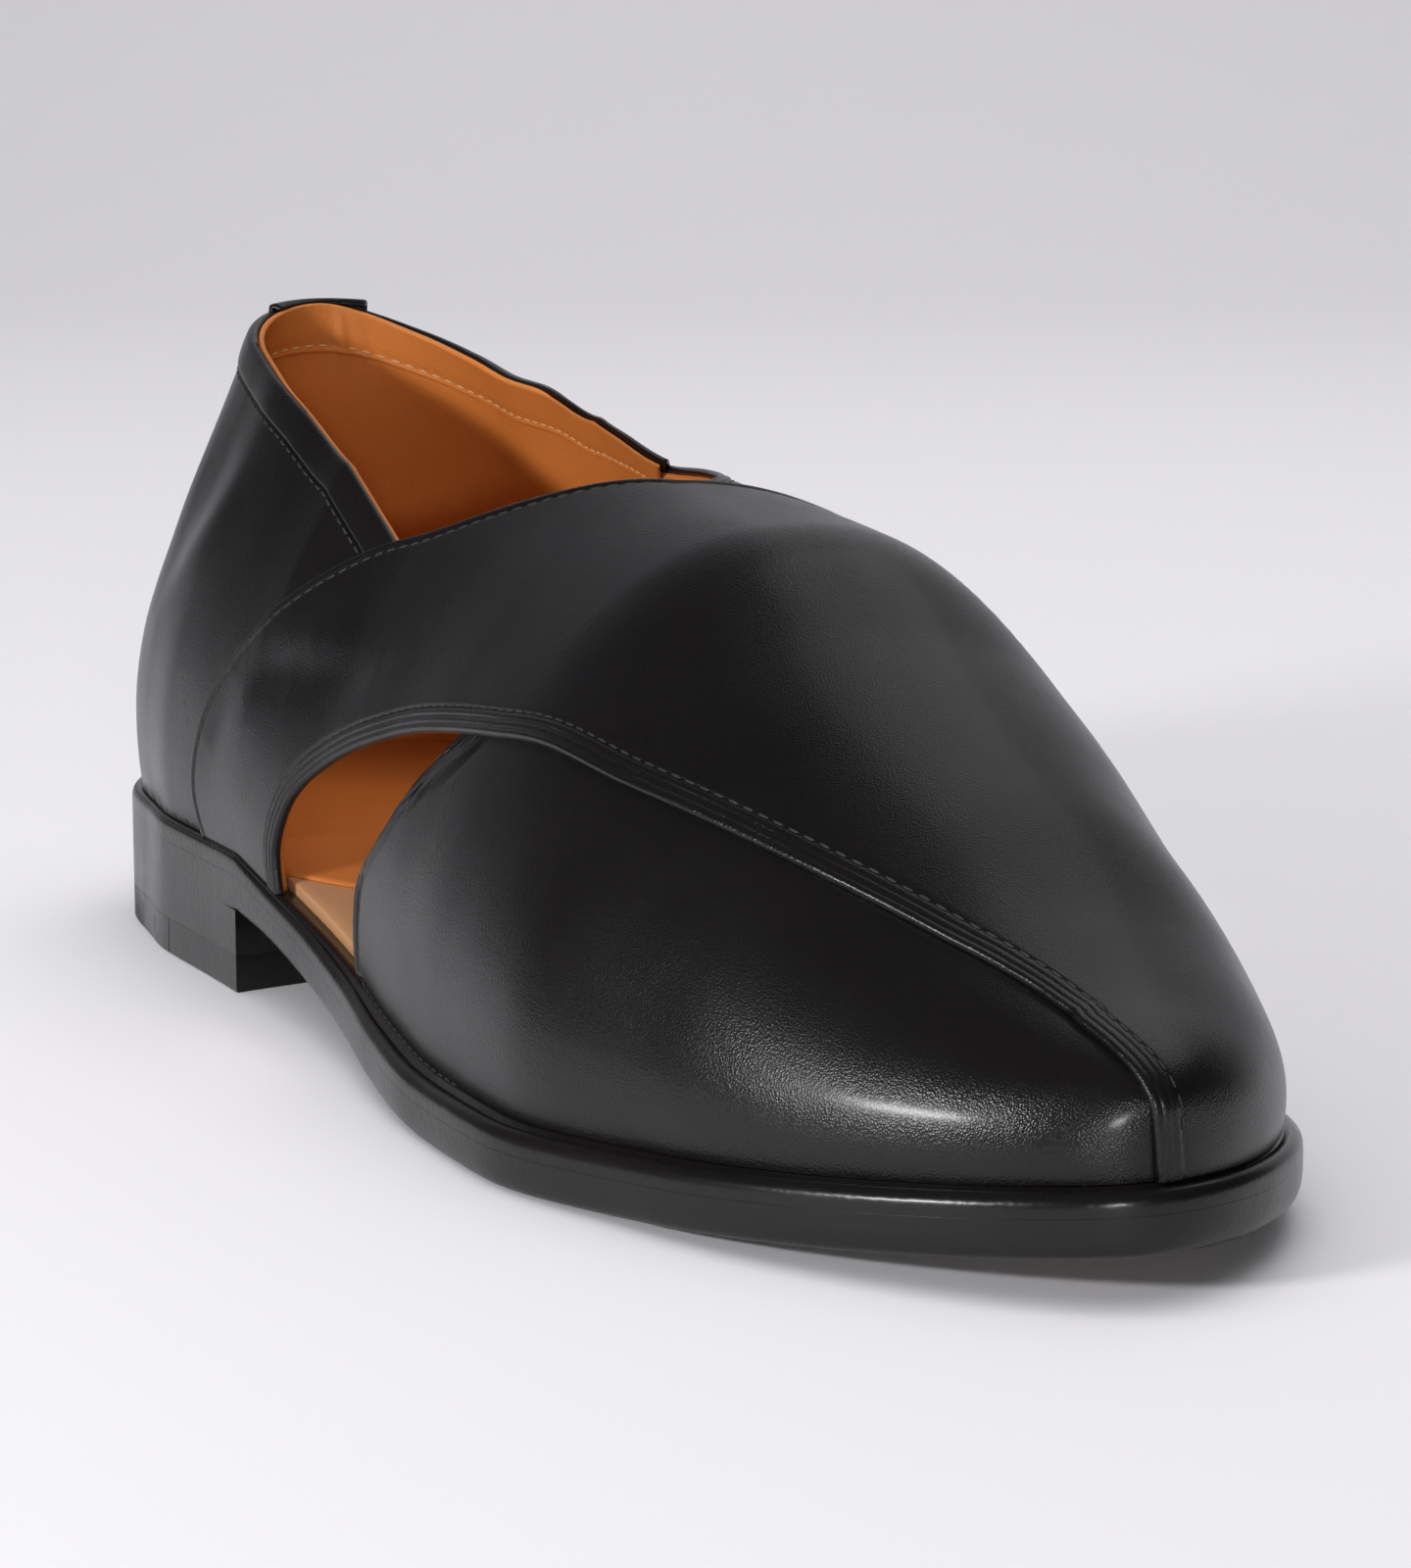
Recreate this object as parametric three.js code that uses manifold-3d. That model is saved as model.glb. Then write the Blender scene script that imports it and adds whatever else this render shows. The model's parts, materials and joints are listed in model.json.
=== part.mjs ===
// Peshawari chappal, right shoe, in millimetres: two mirror-image panels cross over the instep and leave a
// crescent opening on each side, on a welted leather sole with a block heel.
// +X runs to the toe, +Z up, -Y is the lateral (outer) side. The origin is on the floor, under the sole's middle.
import * as THREE from 'three';
import Module from 'manifold-3d';

const wasm = await Module();
wasm.setup();

// Driving sizes of the sole
const soleLength = 300;
const ballWidth = 106;
const heelRound = 37;
const toeRound = 62;
const heelHeight = 13.5;
const heelBreast = 87.5;
const breastHollow = 3;
const topPieceHeight = 6;
const topPieceSplit = 46;
const topPieceSplitSlant = 0.23;
const outsoleThickness = 5.2;
const outsoleEdgeRound = 1.5;
const weltThickness = 3.2;
const weltEdgeRound = 1;
const edgeFade = 30;
const insoleRise = 1.2;
const toeSpring = 6.6;
const seatingGap = 0.3;

// Driving sizes of the upper
const instepHeight = 75;
const heelShelf = 0.6;
const toeShelf = 3;
const tipShift = 2;
const wallInset = 3.4;
const topPanelWall = 2.4;
const underPanelDrop = 1.1;
const underPanelWall = 1.6;
const quarterWall = 1.9;
const quarterTuck = 0.7;
const backLean = 34;
const leanReach = 130;
const toeNose = 26;
const backStripWidth = 19;
const backStripRise = 0.7;

// Half widths of the sole, as shares of the ball width
const outlineRows = [
  { station: 0.00, lateral: 0.345, medial: 0.335 },
  { station: 0.10, lateral: 0.345, medial: 0.332 },
  { station: 0.18, lateral: 0.378, medial: 0.328 },
  { station: 0.26, lateral: 0.385, medial: 0.308 },
  { station: 0.38, lateral: 0.402, medial: 0.250 },
  { station: 0.46, lateral: 0.430, medial: 0.300 },
  { station: 0.53, lateral: 0.470, medial: 0.392 },
  { station: 0.60, lateral: 0.500, medial: 0.455 },
  { station: 0.69, lateral: 0.513, medial: 0.487 },
  { station: 0.80, lateral: 0.440, medial: 0.432 },
  { station: 0.90, lateral: 0.362, medial: 0.412 },
  { station: 1.00, lateral: 0.275, medial: 0.360 },
];

// Sections of the last: crest height and ridge shift as shares of the instep height, and how square each side of
// the section is (2 is an ellipse)
const sectionRows = [
  { station: 0.00, crest: 1.387, ridge: 0.000, squareLateral: 1.66, squareMedial: 1.66 },
  { station: 0.15, crest: 1.333, ridge: 0.013, squareLateral: 1.68, squareMedial: 1.74 },
  { station: 0.28, crest: 1.133, ridge: 0.027, squareLateral: 1.75, squareMedial: 2.30 },
  { station: 0.40, crest: 1.010, ridge: 0.053, squareLateral: 1.90, squareMedial: 3.30 },
  { station: 0.50, crest: 1.003, ridge: 0.053, squareLateral: 1.95, squareMedial: 3.00 },
  { station: 0.60, crest: 0.987, ridge: 0.053, squareLateral: 2.00, squareMedial: 2.90 },
  { station: 0.70, crest: 0.810, ridge: 0.040, squareLateral: 2.10, squareMedial: 2.60 },
  { station: 0.80, crest: 0.597, ridge: 0.027, squareLateral: 2.20, squareMedial: 2.40 },
  { station: 0.88, crest: 0.393, ridge: 0.013, squareLateral: 2.20, squareMedial: 2.30 },
  { station: 0.94, crest: 0.280, ridge: 0.000, squareLateral: 2.30, squareMedial: 2.50 },
  { station: 1.00, crest: 0.233, ridge: 0.000, squareLateral: 2.40, squareMedial: 2.60 },
];

// Swell of each side of the last beyond its section, as shares of the ball width
const bulgeRows = [
  { station: 0.00, lateral: 0.026, medial: 0.026 },
  { station: 0.15, lateral: 0.026, medial: 0.028 },
  { station: 0.28, lateral: 0.020, medial: 0.042 },
  { station: 0.40, lateral: 0.014, medial: 0.080 },
  { station: 0.50, lateral: 0.014, medial: 0.057 },
  { station: 0.60, lateral: 0.014, medial: 0.036 },
  { station: 0.70, lateral: 0.014, medial: 0.028 },
  { station: 0.80, lateral: 0.014, medial: 0.022 },
  { station: 0.88, lateral: 0.011, medial: 0.011 },
  { station: 0.94, lateral: 0.009, medial: 0.009 },
  { station: 1.00, lateral: 0.009, medial: 0.009 },
];

// Forward lean of the counter: share of the back lean at each share of the section's height
const leanRows = [
  { rise: 0.00, lean: 0.00 },
  { rise: 0.14, lean: 0.01 },
  { rise: 0.27, lean: 0.10 },
  { rise: 0.45, lean: 0.38 },
  { rise: 0.66, lean: 0.65 },
  { rise: 0.74, lean: 0.69 },
  { rise: 0.80, lean: 0.70 },
  { rise: 1.00, lean: 0.80 },
];

// Strap-and-vamp panel, a row for each section across it: the rear and upper edge, then the lower and front one.
// A turn is -1 at the lateral feather line, 0 on the crest and 1 at the medial feather line.
const panelRows = [
  { rear: 0.236, rearTurn: -1.000, front: 0.354, frontTurn: -1.000 },
  { rear: 0.226, rearTurn: -0.920, front: 0.352, frontTurn: -0.940 },
  { rear: 0.236, rearTurn: -0.825, front: 0.362, frontTurn: -0.870 },
  { rear: 0.258, rearTurn: -0.742, front: 0.378, frontTurn: -0.820 },
  { rear: 0.290, rearTurn: -0.662, front: 0.400, frontTurn: -0.776 },
  { rear: 0.330, rearTurn: -0.563, front: 0.425, frontTurn: -0.736 },
  { rear: 0.372, rearTurn: -0.465, front: 0.455, frontTurn: -0.696 },
  { rear: 0.412, rearTurn: -0.388, front: 0.490, frontTurn: -0.655 },
  { rear: 0.447, rearTurn: -0.300, front: 0.530, frontTurn: -0.618 },
  { rear: 0.480, rearTurn: -0.188, front: 0.572, frontTurn: -0.587 },
  { rear: 0.511, rearTurn: -0.030, front: 0.615, frontTurn: -0.560 },
  { rear: 0.538, rearTurn: 0.150, front: 0.660, frontTurn: -0.523 },
  { rear: 0.568, rearTurn: 0.330, front: 0.702, frontTurn: -0.484 },
  { rear: 0.583, rearTurn: 0.470, front: 0.740, frontTurn: -0.450 },
  { rear: 0.570, rearTurn: 0.590, front: 0.772, frontTurn: -0.420 },
  { rear: 0.537, rearTurn: 0.672, front: 0.800, frontTurn: -0.388 },
  { rear: 0.495, rearTurn: 0.780, front: 0.824, frontTurn: -0.352 },
  { rear: 0.466, rearTurn: 0.890, front: 0.846, frontTurn: -0.310 },
  { rear: 0.470, rearTurn: 1.000, front: 0.866, frontTurn: -0.268 },
  { rear: 0.600, rearTurn: 1.000, front: 0.886, frontTurn: -0.226 },
  { rear: 0.720, rearTurn: 1.000, front: 0.906, frontTurn: -0.182 },
  { rear: 0.820, rearTurn: 1.000, front: 0.926, frontTurn: -0.140 },
  { rear: 0.895, rearTurn: 1.000, front: 0.946, frontTurn: -0.112 },
  { rear: 0.950, rearTurn: 1.000, front: 0.964, frontTurn: -0.092 },
  { rear: 0.976, rearTurn: 1.000, front: 0.978, frontTurn: -0.076 },
  { rear: 0.989, rearTurn: 1.000, front: 0.989, frontTurn: -0.052 },
  { rear: 0.996, rearTurn: 1.000, front: 0.996, frontTurn: -0.015 },
  { rear: 1.000, rearTurn: 1.000, front: 1.000, frontTurn: 0.120 },
];

// Topline of the quarter: turn of its edge at each station, on both sides
const toplineRows = [
  { station: 0.00, lateral: 0.395, medial: 0.395 },
  { station: 0.05, lateral: 0.405, medial: 0.441 },
  { station: 0.10, lateral: 0.418, medial: 0.471 },
  { station: 0.15, lateral: 0.428, medial: 0.483 },
  { station: 0.20, lateral: 0.433, medial: 0.487 },
  { station: 0.25, lateral: 0.436, medial: 0.481 },
  { station: 0.30, lateral: 0.440, medial: 0.472 },
  { station: 0.35, lateral: 0.450, medial: 0.421 },
  { station: 0.40, lateral: 0.470, medial: 0.357 },
];

// How much nearer the crest the under strap's upper edge lies than the top strap's, along the panel
const underLiftRows = [
  { along: 0.00, lift: 0.000 },
  { along: 0.16, lift: 0.000 },
  { along: 0.20, lift: 0.070 },
  { along: 0.24, lift: 0.090 },
  { along: 0.28, lift: 0.070 },
  { along: 0.32, lift: 0.036 },
  { along: 0.38, lift: 0.000 },
  { along: 1.00, lift: 0.000 },
];
const quarterFrontFoot = 0.295;
const quarterFrontTop = 0.400;
const quarterTuckStart = 0.190;
const quarterTuckEnd = 0.240;

// Side of the outsole and of the welt: how far each level stands in from the outline, as a share of the edge's
// round, at each share of the thickness
const outsoleSideRows = [
  { rise: 0.00, inset: 1.00 },
  { rise: 0.22, inset: 0.27 },
  { rise: 0.60, inset: 0.00 },
  { rise: 1.00, inset: 0.33 },
];
const weltSideRows = [
  { rise: 0.00, inset: 0.90 },
  { rise: 0.45, inset: 0.40 },
  { rise: 1.00, inset: 1.00 },
];

// Where the underside of the sole meets the floor, as shares of the length
const floorStart = 0.620;
const floorEnd = 0.690;
const springPower = 1.7;
const waistPower = 1.6;
const waistFullness = 0.3;

// Where the last starts and ends on the sole, and how its surface is rounded
const lastStart = heelShelf;
const lastEnd = soleLength - toeShelf;
const lastToeRound = toeRound - toeShelf;
const noseShare = 0.45;
const nosePower = 2.2;
const bulgeScale = 6.75;
const leanPower = 1.5;
const squareFoot = 0.06;
const toeWrap = 0.06;
const toeWrapStart = 0.9;
const tipBendStart = 0.8;

// Fineness of the meshes
const soleSteps = 36;
const heelSteps = 16;
const panelSteps = 54;
const panelAcross = 14;
const quarterSteps = 40;
const quarterAcross = 10;
const stripSteps = 4;
const breastSteps = 6;
const cornerRounds = 8;
const faceStep = 0.002;
const edgeStep = 0.05;

// Monotone cubic through one column of a table, over another
function smoothColumn(rows, key, column) {
  const count = rows.length;
  const xs = rows.map((row) => row[key]);
  const ys = rows.map((row) => row[column]);
  const slopes = xs.slice(1).map((x, i) => (ys[i + 1] - ys[i]) / (x - xs[i]));
  const tangents = ys.map((y, i) => {
    if (i === 0) return slopes[0];
    if (i === count - 1) return slopes[count - 2];
    if (slopes[i - 1] * slopes[i] <= 0) return 0;
    return (2 * slopes[i - 1] * slopes[i]) / (slopes[i - 1] + slopes[i]);
  });
  return (x) => {
    const bounded = Math.min(Math.max(x, xs[0]), xs[count - 1]);
    let i = 0;
    while (i < count - 2 && bounded > xs[i + 1]) i += 1;
    const width = xs[i + 1] - xs[i];
    const t = (bounded - xs[i]) / width;
    const rest = 1 - t;
    return ys[i] * rest * rest * (1 + 2 * t)
      + tangents[i] * width * t * rest * rest
      + ys[i + 1] * t * t * (3 - 2 * t)
      - tangents[i + 1] * width * t * t * rest;
  };
}

function smoothTable(rows, key) {
  const columns = Object.keys(rows[0]).filter((name) => name !== key);
  return Object.fromEntries(columns.map((name) => [name, smoothColumn(rows, key, name)]));
}

const outline = smoothTable(outlineRows, 'station');
const section = smoothTable(sectionRows, 'station');
const bulge = smoothTable(bulgeRows, 'station');
const counterLean = smoothTable(leanRows, 'rise');
const topline = smoothTable(toplineRows, 'station');
const underLift = smoothTable(underLiftRows, 'along');
const panel = smoothTable(panelRows.map((row, i) => ({ ...row, along: i / (panelRows.length - 1) })), 'along');

const clamp = THREE.MathUtils.clamp;

// Rounding of both ends of an outline, 0 at its tips and 1 between them
function endRounding(x, start, end, startRound, endRound) {
  const back = clamp((start + startRound - x) / startRound, 0, 1);
  const front = clamp((x - end + endRound) / endRound, 0, 1);
  return Math.sqrt(1 - back * back) * Math.sqrt(1 - front * front);
}

// The sole's axis bends to the lateral side towards the toe
const axisAt = (x) => -tipShift * clamp((x / soleLength - tipBendStart) / (1 - tipBendStart), 0, 1) ** 2;

// Half widths of the sole at x, on both sides
function soleHalf(x) {
  const station = x / soleLength;
  const rounding = endRounding(x, 0, soleLength, heelRound, toeRound);
  return {
    lateral: outline.lateral(station) * ballWidth * rounding,
    medial: outline.medial(station) * ballWidth * rounding,
  };
}

// Underside of the outsole: level over the heel, down through the waist, flat at the ball, up at the toe
function undersideHeight(x) {
  const waist = clamp((x - heelBreast) / (floorStart * soleLength - heelBreast), 0, 1);
  const spring = clamp((x / soleLength - floorEnd) / (1 - floorEnd), 0, 1);
  return heelHeight * (1 - waist) ** waistPower * (1 + waistFullness * waist)
    + toeSpring * spring ** springPower;
}

const weltBase = (x) => undersideHeight(x) + outsoleThickness + seatingGap;
const weltTop = (x) => weltBase(x) + weltThickness;
const featherHeight = (x) => weltTop(x) + seatingGap;

// How far the upper stands in from the sole's outline
function shelfAt(x) {
  const forward = THREE.MathUtils.smoothstep(x, heelBreast, floorStart * soleLength);
  return THREE.MathUtils.lerp(heelShelf, toeShelf, forward);
}

// A point of the last's outer face. The angle runs from 0 at the heel to pi at the toe, and past either end it
// comes back on the other side, so that a panel can wrap round the heel or the toe.
function facePoint(angle, turn) {
  if (angle < 0) return facePoint(-angle, -turn);
  if (angle > Math.PI) return facePoint(2 * Math.PI - angle, -turn);
  const x = lastStart + (lastEnd - lastStart) * (1 - Math.cos(angle)) / 2;
  const station = x / soleLength;
  const side = turn < 0 ? 'lateral' : 'medial';
  const outward = Math.sign(turn) || 1;
  const rounding = endRounding(x, lastStart, lastEnd, heelRound, lastToeRound);
  const half = outline[side](station) * ballWidth - shelfAt(x);
  const square = section[turn < 0 ? 'squareLateral' : 'squareMedial'](station);
  const lean = Math.abs(turn) * Math.PI / 2;
  const across = Math.sin(lean) ** (2 / square);
  const rise = Math.max(Math.cos(lean), 0) ** (2 / square);
  const noseRun = clamp((x - lastEnd + toeNose) / toeNose, 0, 1);
  const nose = noseShare + (1 - noseShare) * (1 - noseRun ** nosePower) ** (1 / nosePower);
  const crest = section.crest(station) * instepHeight * nose;
  const swell = bulge[side](station) * ballWidth * bulgeScale * rise * (1 - rise) ** 2;
  const ridge = section.ridge(station) * instepHeight * rise;
  const y = axisAt(x) + rounding * (outward * (half * across + swell) + ridge);
  const z = featherHeight(x) + crest * rise;
  const leanShare = clamp(1 - x / leanReach, 0, 1) ** leanPower;
  return new THREE.Vector3(x + backLean * counterLean.lean(rise) * leanShare, y, z);
}

// The same point moved inwards by a depth. At the feather line the move is level, which squares the foot of a wall.
function wallPoint(angle, turn, depth) {
  const low = Math.max(turn - faceStep, -1);
  const high = Math.min(turn + faceStep, 1);
  const along = facePoint(angle + faceStep, turn).sub(facePoint(angle - faceStep, turn));
  const around = facePoint(angle, high).sub(facePoint(angle, low));
  const normal = along.cross(around).normalize();
  normal.z *= Math.min(1, (1 - Math.abs(turn)) / squareFoot);
  return facePoint(angle, turn).addScaledVector(normal.normalize(), -depth);
}

const angleOf = (x) => Math.acos(clamp(1 - 2 * (x - lastStart) / (lastEnd - lastStart), -1, 1));
const stationAngle = (station) => angleOf(THREE.MathUtils.lerp(lastStart, lastEnd, station));

// Flips the triangles when the body is inside out
function closedGeometry(positions, indices) {
  const corner = (i) => new THREE.Vector3().fromArray(positions, 3 * i);
  let volume = 0;
  for (let i = 0; i < indices.length; i += 3) {
    volume += corner(indices[i]).dot(corner(indices[i + 1]).cross(corner(indices[i + 2])));
  }
  if (volume < 0) indices.reverse();
  const geometry = new THREE.BufferGeometry();
  geometry.setAttribute('position', new THREE.Float32BufferAttribute(positions, 3));
  geometry.setIndex(indices);
  return geometry;
}

// A curved wall between an outer and an inner grid, closed along its four edges
function wallGeometry(rows, columns, outerPoint, innerPoint) {
  const positions = [];
  const indices = [];
  const layer = (rows + 1) * (columns + 1);
  const at = (i, j, inner) => inner * layer + i * (columns + 1) + j;
  for (const point of [outerPoint, innerPoint]) {
    for (let i = 0; i <= rows; i += 1) {
      for (let j = 0; j <= columns; j += 1) {
        positions.push(...point(i / rows, j / columns).toArray());
      }
    }
  }
  const quad = (a, b, c, d) => indices.push(a, b, c, a, c, d);
  for (let i = 0; i < rows; i += 1) {
    for (let j = 0; j < columns; j += 1) {
      quad(at(i, j, 0), at(i, j + 1, 0), at(i + 1, j + 1, 0), at(i + 1, j, 0));
      quad(at(i, j, 1), at(i + 1, j, 1), at(i + 1, j + 1, 1), at(i, j + 1, 1));
    }
    quad(at(i, 0, 0), at(i + 1, 0, 0), at(i + 1, 0, 1), at(i, 0, 1));
    quad(at(i, columns, 0), at(i, columns, 1), at(i + 1, columns, 1), at(i + 1, columns, 0));
  }
  for (let j = 0; j < columns; j += 1) {
    quad(at(0, j, 0), at(0, j, 1), at(0, j + 1, 1), at(0, j + 1, 0));
    quad(at(rows, j, 0), at(rows, j + 1, 0), at(rows, j + 1, 1), at(rows, j, 1));
  }
  return closedGeometry(positions, indices);
}

// A stack of loops with as many points each. A plate is capped by rungs from side to side, a ring joins its last
// loop to its first. A loop runs along the lateral side to the front and back along the medial side.
function loopGeometry(loops, ring) {
  const count = loops[0].length;
  const positions = loops.flat().flatMap((point) => point.toArray());
  const indices = [];
  const bands = ring ? loops.length : loops.length - 1;
  for (let k = 0; k < bands; k += 1) {
    const low = k * count;
    const high = ((k + 1) % loops.length) * count;
    for (let i = 0; i < count; i += 1) {
      const next = (i + 1) % count;
      indices.push(low + i, low + next, high + next, low + i, high + next, high + i);
    }
  }
  if (!ring) {
    const top = (loops.length - 1) * count;
    const cap = (a, b, c) => {
      indices.push(c, b, a);
      indices.push(top + a, top + b, top + c);
    };
    let near = 0;
    let far = count - 1;
    while (far - near > 1) {
      cap(near, near + 1, far);
      near += 1;
      if (far - near > 1) {
        cap(near, far - 1, far);
        far -= 1;
      }
    }
  }
  return closedGeometry(positions, indices);
}

// Loop of the sole's outline, moved in by an inset, at a height given for each x
function outlineLoop(insetAt, heightAt) {
  const points = [];
  for (let i = 0; i <= soleSteps; i += 1) {
    const x = soleLength * (1 - Math.cos(Math.PI * i / soleSteps)) / 2;
    points.push([x, -1]);
  }
  for (let i = soleSteps - 1; i > 0; i -= 1) {
    points.push([points[i][0], 1]);
  }
  return points.map(([x, side]) => insetPoint(x, side, insetAt(x), heightAt));
}

// A point of the outline moved square to it by an inset
function insetPoint(x, side, inset, heightAt) {
  const halfAt = (at) => soleHalf(clamp(at, 0, soleLength))[side < 0 ? 'lateral' : 'medial'];
  const slope = (halfAt(x + edgeStep) - halfAt(x - edgeStep)) / (2 * edgeStep);
  const length = Math.hypot(slope, 1);
  const atBack = x < edgeStep ? 1 : 0;
  const atTip = x > soleLength - edgeStep ? -1 : atBack;
  const moveX = atTip ? atTip * inset : (slope * inset) / length;
  const moveY = atTip ? 0 : inset / length;
  const movedX = x + moveX;
  return new THREE.Vector3(movedX, axisAt(movedX) + side * (halfAt(x) - moveY), heightAt(movedX));
}

// Flat shape of a heel piece, between a back line and a front line that are given for each y. Without a back
// line the piece ends in the round of the heel.
function heelShape(frontAt, backAt) {
  const edge = (side) => {
    const halfAt = (x) => soleHalf(x)[side < 0 ? 'lateral' : 'medial'];
    const cornerOn = (lineAt) => {
      let x = lineAt(0);
      for (let i = 0; i < cornerRounds; i += 1) {
        x = lineAt(side * halfAt(x));
      }
      return x;
    };
    const back = backAt ? cornerOn(backAt) : 0;
    const front = cornerOn(frontAt);
    const points = [];
    for (let i = 0; i <= heelSteps; i += 1) {
      const share = backAt ? i / heelSteps : 1 - Math.cos(Math.PI / 2 * i / heelSteps);
      const x = THREE.MathUtils.lerp(back, front, share);
      points.push(new THREE.Vector2(x, side * halfAt(x)));
    }
    return points;
  };
  const line = (from, to, xAt) => {
    const points = [];
    for (let i = 1; i < breastSteps; i += 1) {
      const y = THREE.MathUtils.lerp(from.y, to.y, i / breastSteps);
      points.push(new THREE.Vector2(xAt(y), y));
    }
    return points;
  };
  const lateral = edge(-1);
  const medial = edge(1).reverse();
  const points = [...lateral, ...line(lateral[heelSteps], medial[0], frontAt), ...medial];
  if (!backAt) points.pop();
  return new THREE.Shape(points);
}

// A heel piece between two heights
function heelGeometry(shape, low, high) {
  const geometry = new THREE.ExtrudeGeometry(shape, { depth: high - low, bevelEnabled: false });
  geometry.translate(0, 0, low);
  return geometry;
}

function solidOf(geometry) {
  return new wasm.Manifold(new wasm.Mesh({
    numProp: 3,
    vertProperties: geometry.getAttribute('position').array,
    triVerts: new Uint32Array(geometry.getIndex().array),
  }));
}

function geometryOf(solid) {
  const mesh = solid.getMesh();
  const geometry = new THREE.BufferGeometry();
  geometry.setAttribute('position', new THREE.BufferAttribute(mesh.vertProperties, 3));
  geometry.setIndex(new THREE.BufferAttribute(mesh.triVerts, 1));
  return geometry;
}

// A strap-and-vamp panel. The side is -1 for the top panel, whose strap is lateral, and 1 for its mirror image.
// The under panel wraps a little past the toe, so that the two are joined there.
function panelWall(side, drop, wall) {
  const point = (along, across, depth) => {
    const rearAngle = stationAngle(panel.rear(along));
    const frontAngle = stationAngle(panel.front(along));
    const wrap = side > 0 ? toeWrap * THREE.MathUtils.smoothstep(along, toeWrapStart, 1) : 0;
    const angle = THREE.MathUtils.lerp(rearAngle, frontAngle, across) + wrap;
    const lift = side > 0 ? underLift.lift(along) : 0;
    const turn = THREE.MathUtils.lerp(panel.rearTurn(along) + lift, panel.frontTurn(along), across);
    return wallPoint(angle, -side * turn, depth);
  };
  return wallGeometry(
    panelSteps,
    panelAcross,
    (along, across) => point(along, across, drop),
    (along, across) => point(along, across, drop + wall),
  );
}

// The quarter, from its lateral front edge round the heel to its medial one. Its front edges run under the
// straps, and on the medial side it sinks below the under panel.
function quarterWallGeometry() {
  const point = (along, across, inner) => {
    const sweep = 1 - 2 * along;
    const side = sweep > 0 ? 'lateral' : 'medial';
    const frontStation = THREE.MathUtils.lerp(quarterFrontFoot, quarterFrontTop, across);
    const angle = sweep * stationAngle(frontStation);
    const topAngle = Math.abs(sweep) * stationAngle(quarterFrontTop);
    const topStation = (1 - Math.cos(topAngle)) / 2;
    const turn = THREE.MathUtils.lerp(-1, -topline[side](topStation), across);
    const station = (1 - Math.cos(angle)) / 2;
    const tuck = sweep > 0 ? 0 : THREE.MathUtils.smoothstep(station, quarterTuckStart, quarterTuckEnd);
    const outer = underPanelDrop + quarterTuck * tuck;
    return wallPoint(angle, turn, inner ? underPanelDrop + quarterWall : outer);
  };
  return wallGeometry(
    quarterSteps,
    quarterAcross,
    (along, across) => point(along, across, false),
    (along, across) => point(along, across, true),
  );
}

// The narrow strip over the back seam
function backStripWall() {
  const heelHalf = outline.lateral(0) * ballWidth - heelShelf;
  const halfShare = backStripWidth / (2 * heelHalf);
  const halfAngle = angleOf(lastStart + heelRound * (1 - Math.sqrt(1 - halfShare ** 2)));
  const point = (along, across, depth) => {
    const angle = THREE.MathUtils.lerp(-halfAngle, halfAngle, along);
    const turn = THREE.MathUtils.lerp(-1, -topline.lateral(0), across);
    return wallPoint(angle, turn, depth);
  };
  return wallGeometry(
    stripSteps,
    quarterAcross,
    (along, across) => point(along, across, underPanelDrop - backStripRise),
    (along, across) => point(along, across, underPanelDrop + quarterWall / 2),
  );
}

// A level of a plate of the sole. Its edge is square round the heel and takes its round in front of the breast.
function sideLoop(row, edgeRound, baseAt, thickness) {
  const fade = (x) => THREE.MathUtils.smoothstep(x, heelBreast, heelBreast + edgeFade);
  const insetAt = (x) => row.inset * edgeRound * fade(x);
  return outlineLoop(insetAt, (x) => baseAt(x) + row.rise * thickness);
}

const insoleInset = (x) => shelfAt(x) + wallInset;
const weltInnerInset = (x) => insoleInset(x) - seatingGap;
const insoleTop = (x) => featherHeight(x) + insoleRise;

const upperGeometry = geometryOf(
  solidOf(panelWall(-1, 0, topPanelWall))
    .add(solidOf(panelWall(1, underPanelDrop, underPanelWall)))
    .add(solidOf(quarterWallGeometry()))
    .add(solidOf(backStripWall())),
);

// Front line of the heel, hollowed between its corners, and the line between its two top pieces
const breastHalf = soleHalf(heelBreast).lateral;
const breastAt = (y) => heelBreast - breastHollow * Math.max(0, 1 - (y / breastHalf) ** 2);
const splitAt = (y) => topPieceSplit - topPieceSplitSlant * y;

const pieces = [
  {
    name: 'upper',
    geometry: upperGeometry,
    color: 0x0b0b0c,
    roughness: 0.42,
  },
  {
    name: 'insole',
    geometry: loopGeometry([outlineLoop(insoleInset, weltBase), outlineLoop(insoleInset, insoleTop)], false),
    color: 0xc98f5a,
    roughness: 0.6,
  },
  {
    name: 'welt',
    geometry: loopGeometry([
      ...weltSideRows.map((row) => sideLoop(row, weltEdgeRound, weltBase, weltThickness)),
      outlineLoop(weltInnerInset, weltTop),
      outlineLoop(weltInnerInset, weltBase),
    ], true),
    color: 0x0a0a0a,
    roughness: 0.3,
  },
  {
    name: 'outsole',
    geometry: loopGeometry(
      outsoleSideRows.map((row) => sideLoop(row, outsoleEdgeRound, undersideHeight, outsoleThickness)),
      false,
    ),
    color: 0x14100d,
    roughness: 0.35,
  },
  {
    name: 'heel_stack',
    geometry: heelGeometry(heelShape(breastAt), topPieceHeight + seatingGap, heelHeight - seatingGap),
    color: 0x0a0a0a,
    roughness: 0.3,
  },
  {
    name: 'heel_leather_piece',
    geometry: heelGeometry(heelShape(breastAt, (y) => splitAt(y) + seatingGap), 0, topPieceHeight),
    color: 0xa9703f,
    roughness: 0.5,
  },
  {
    name: 'heel_rubber_piece',
    geometry: heelGeometry(heelShape(splitAt), 0, topPieceHeight),
    color: 0x0d0d0e,
    roughness: 0.6,
  },
];

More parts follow.
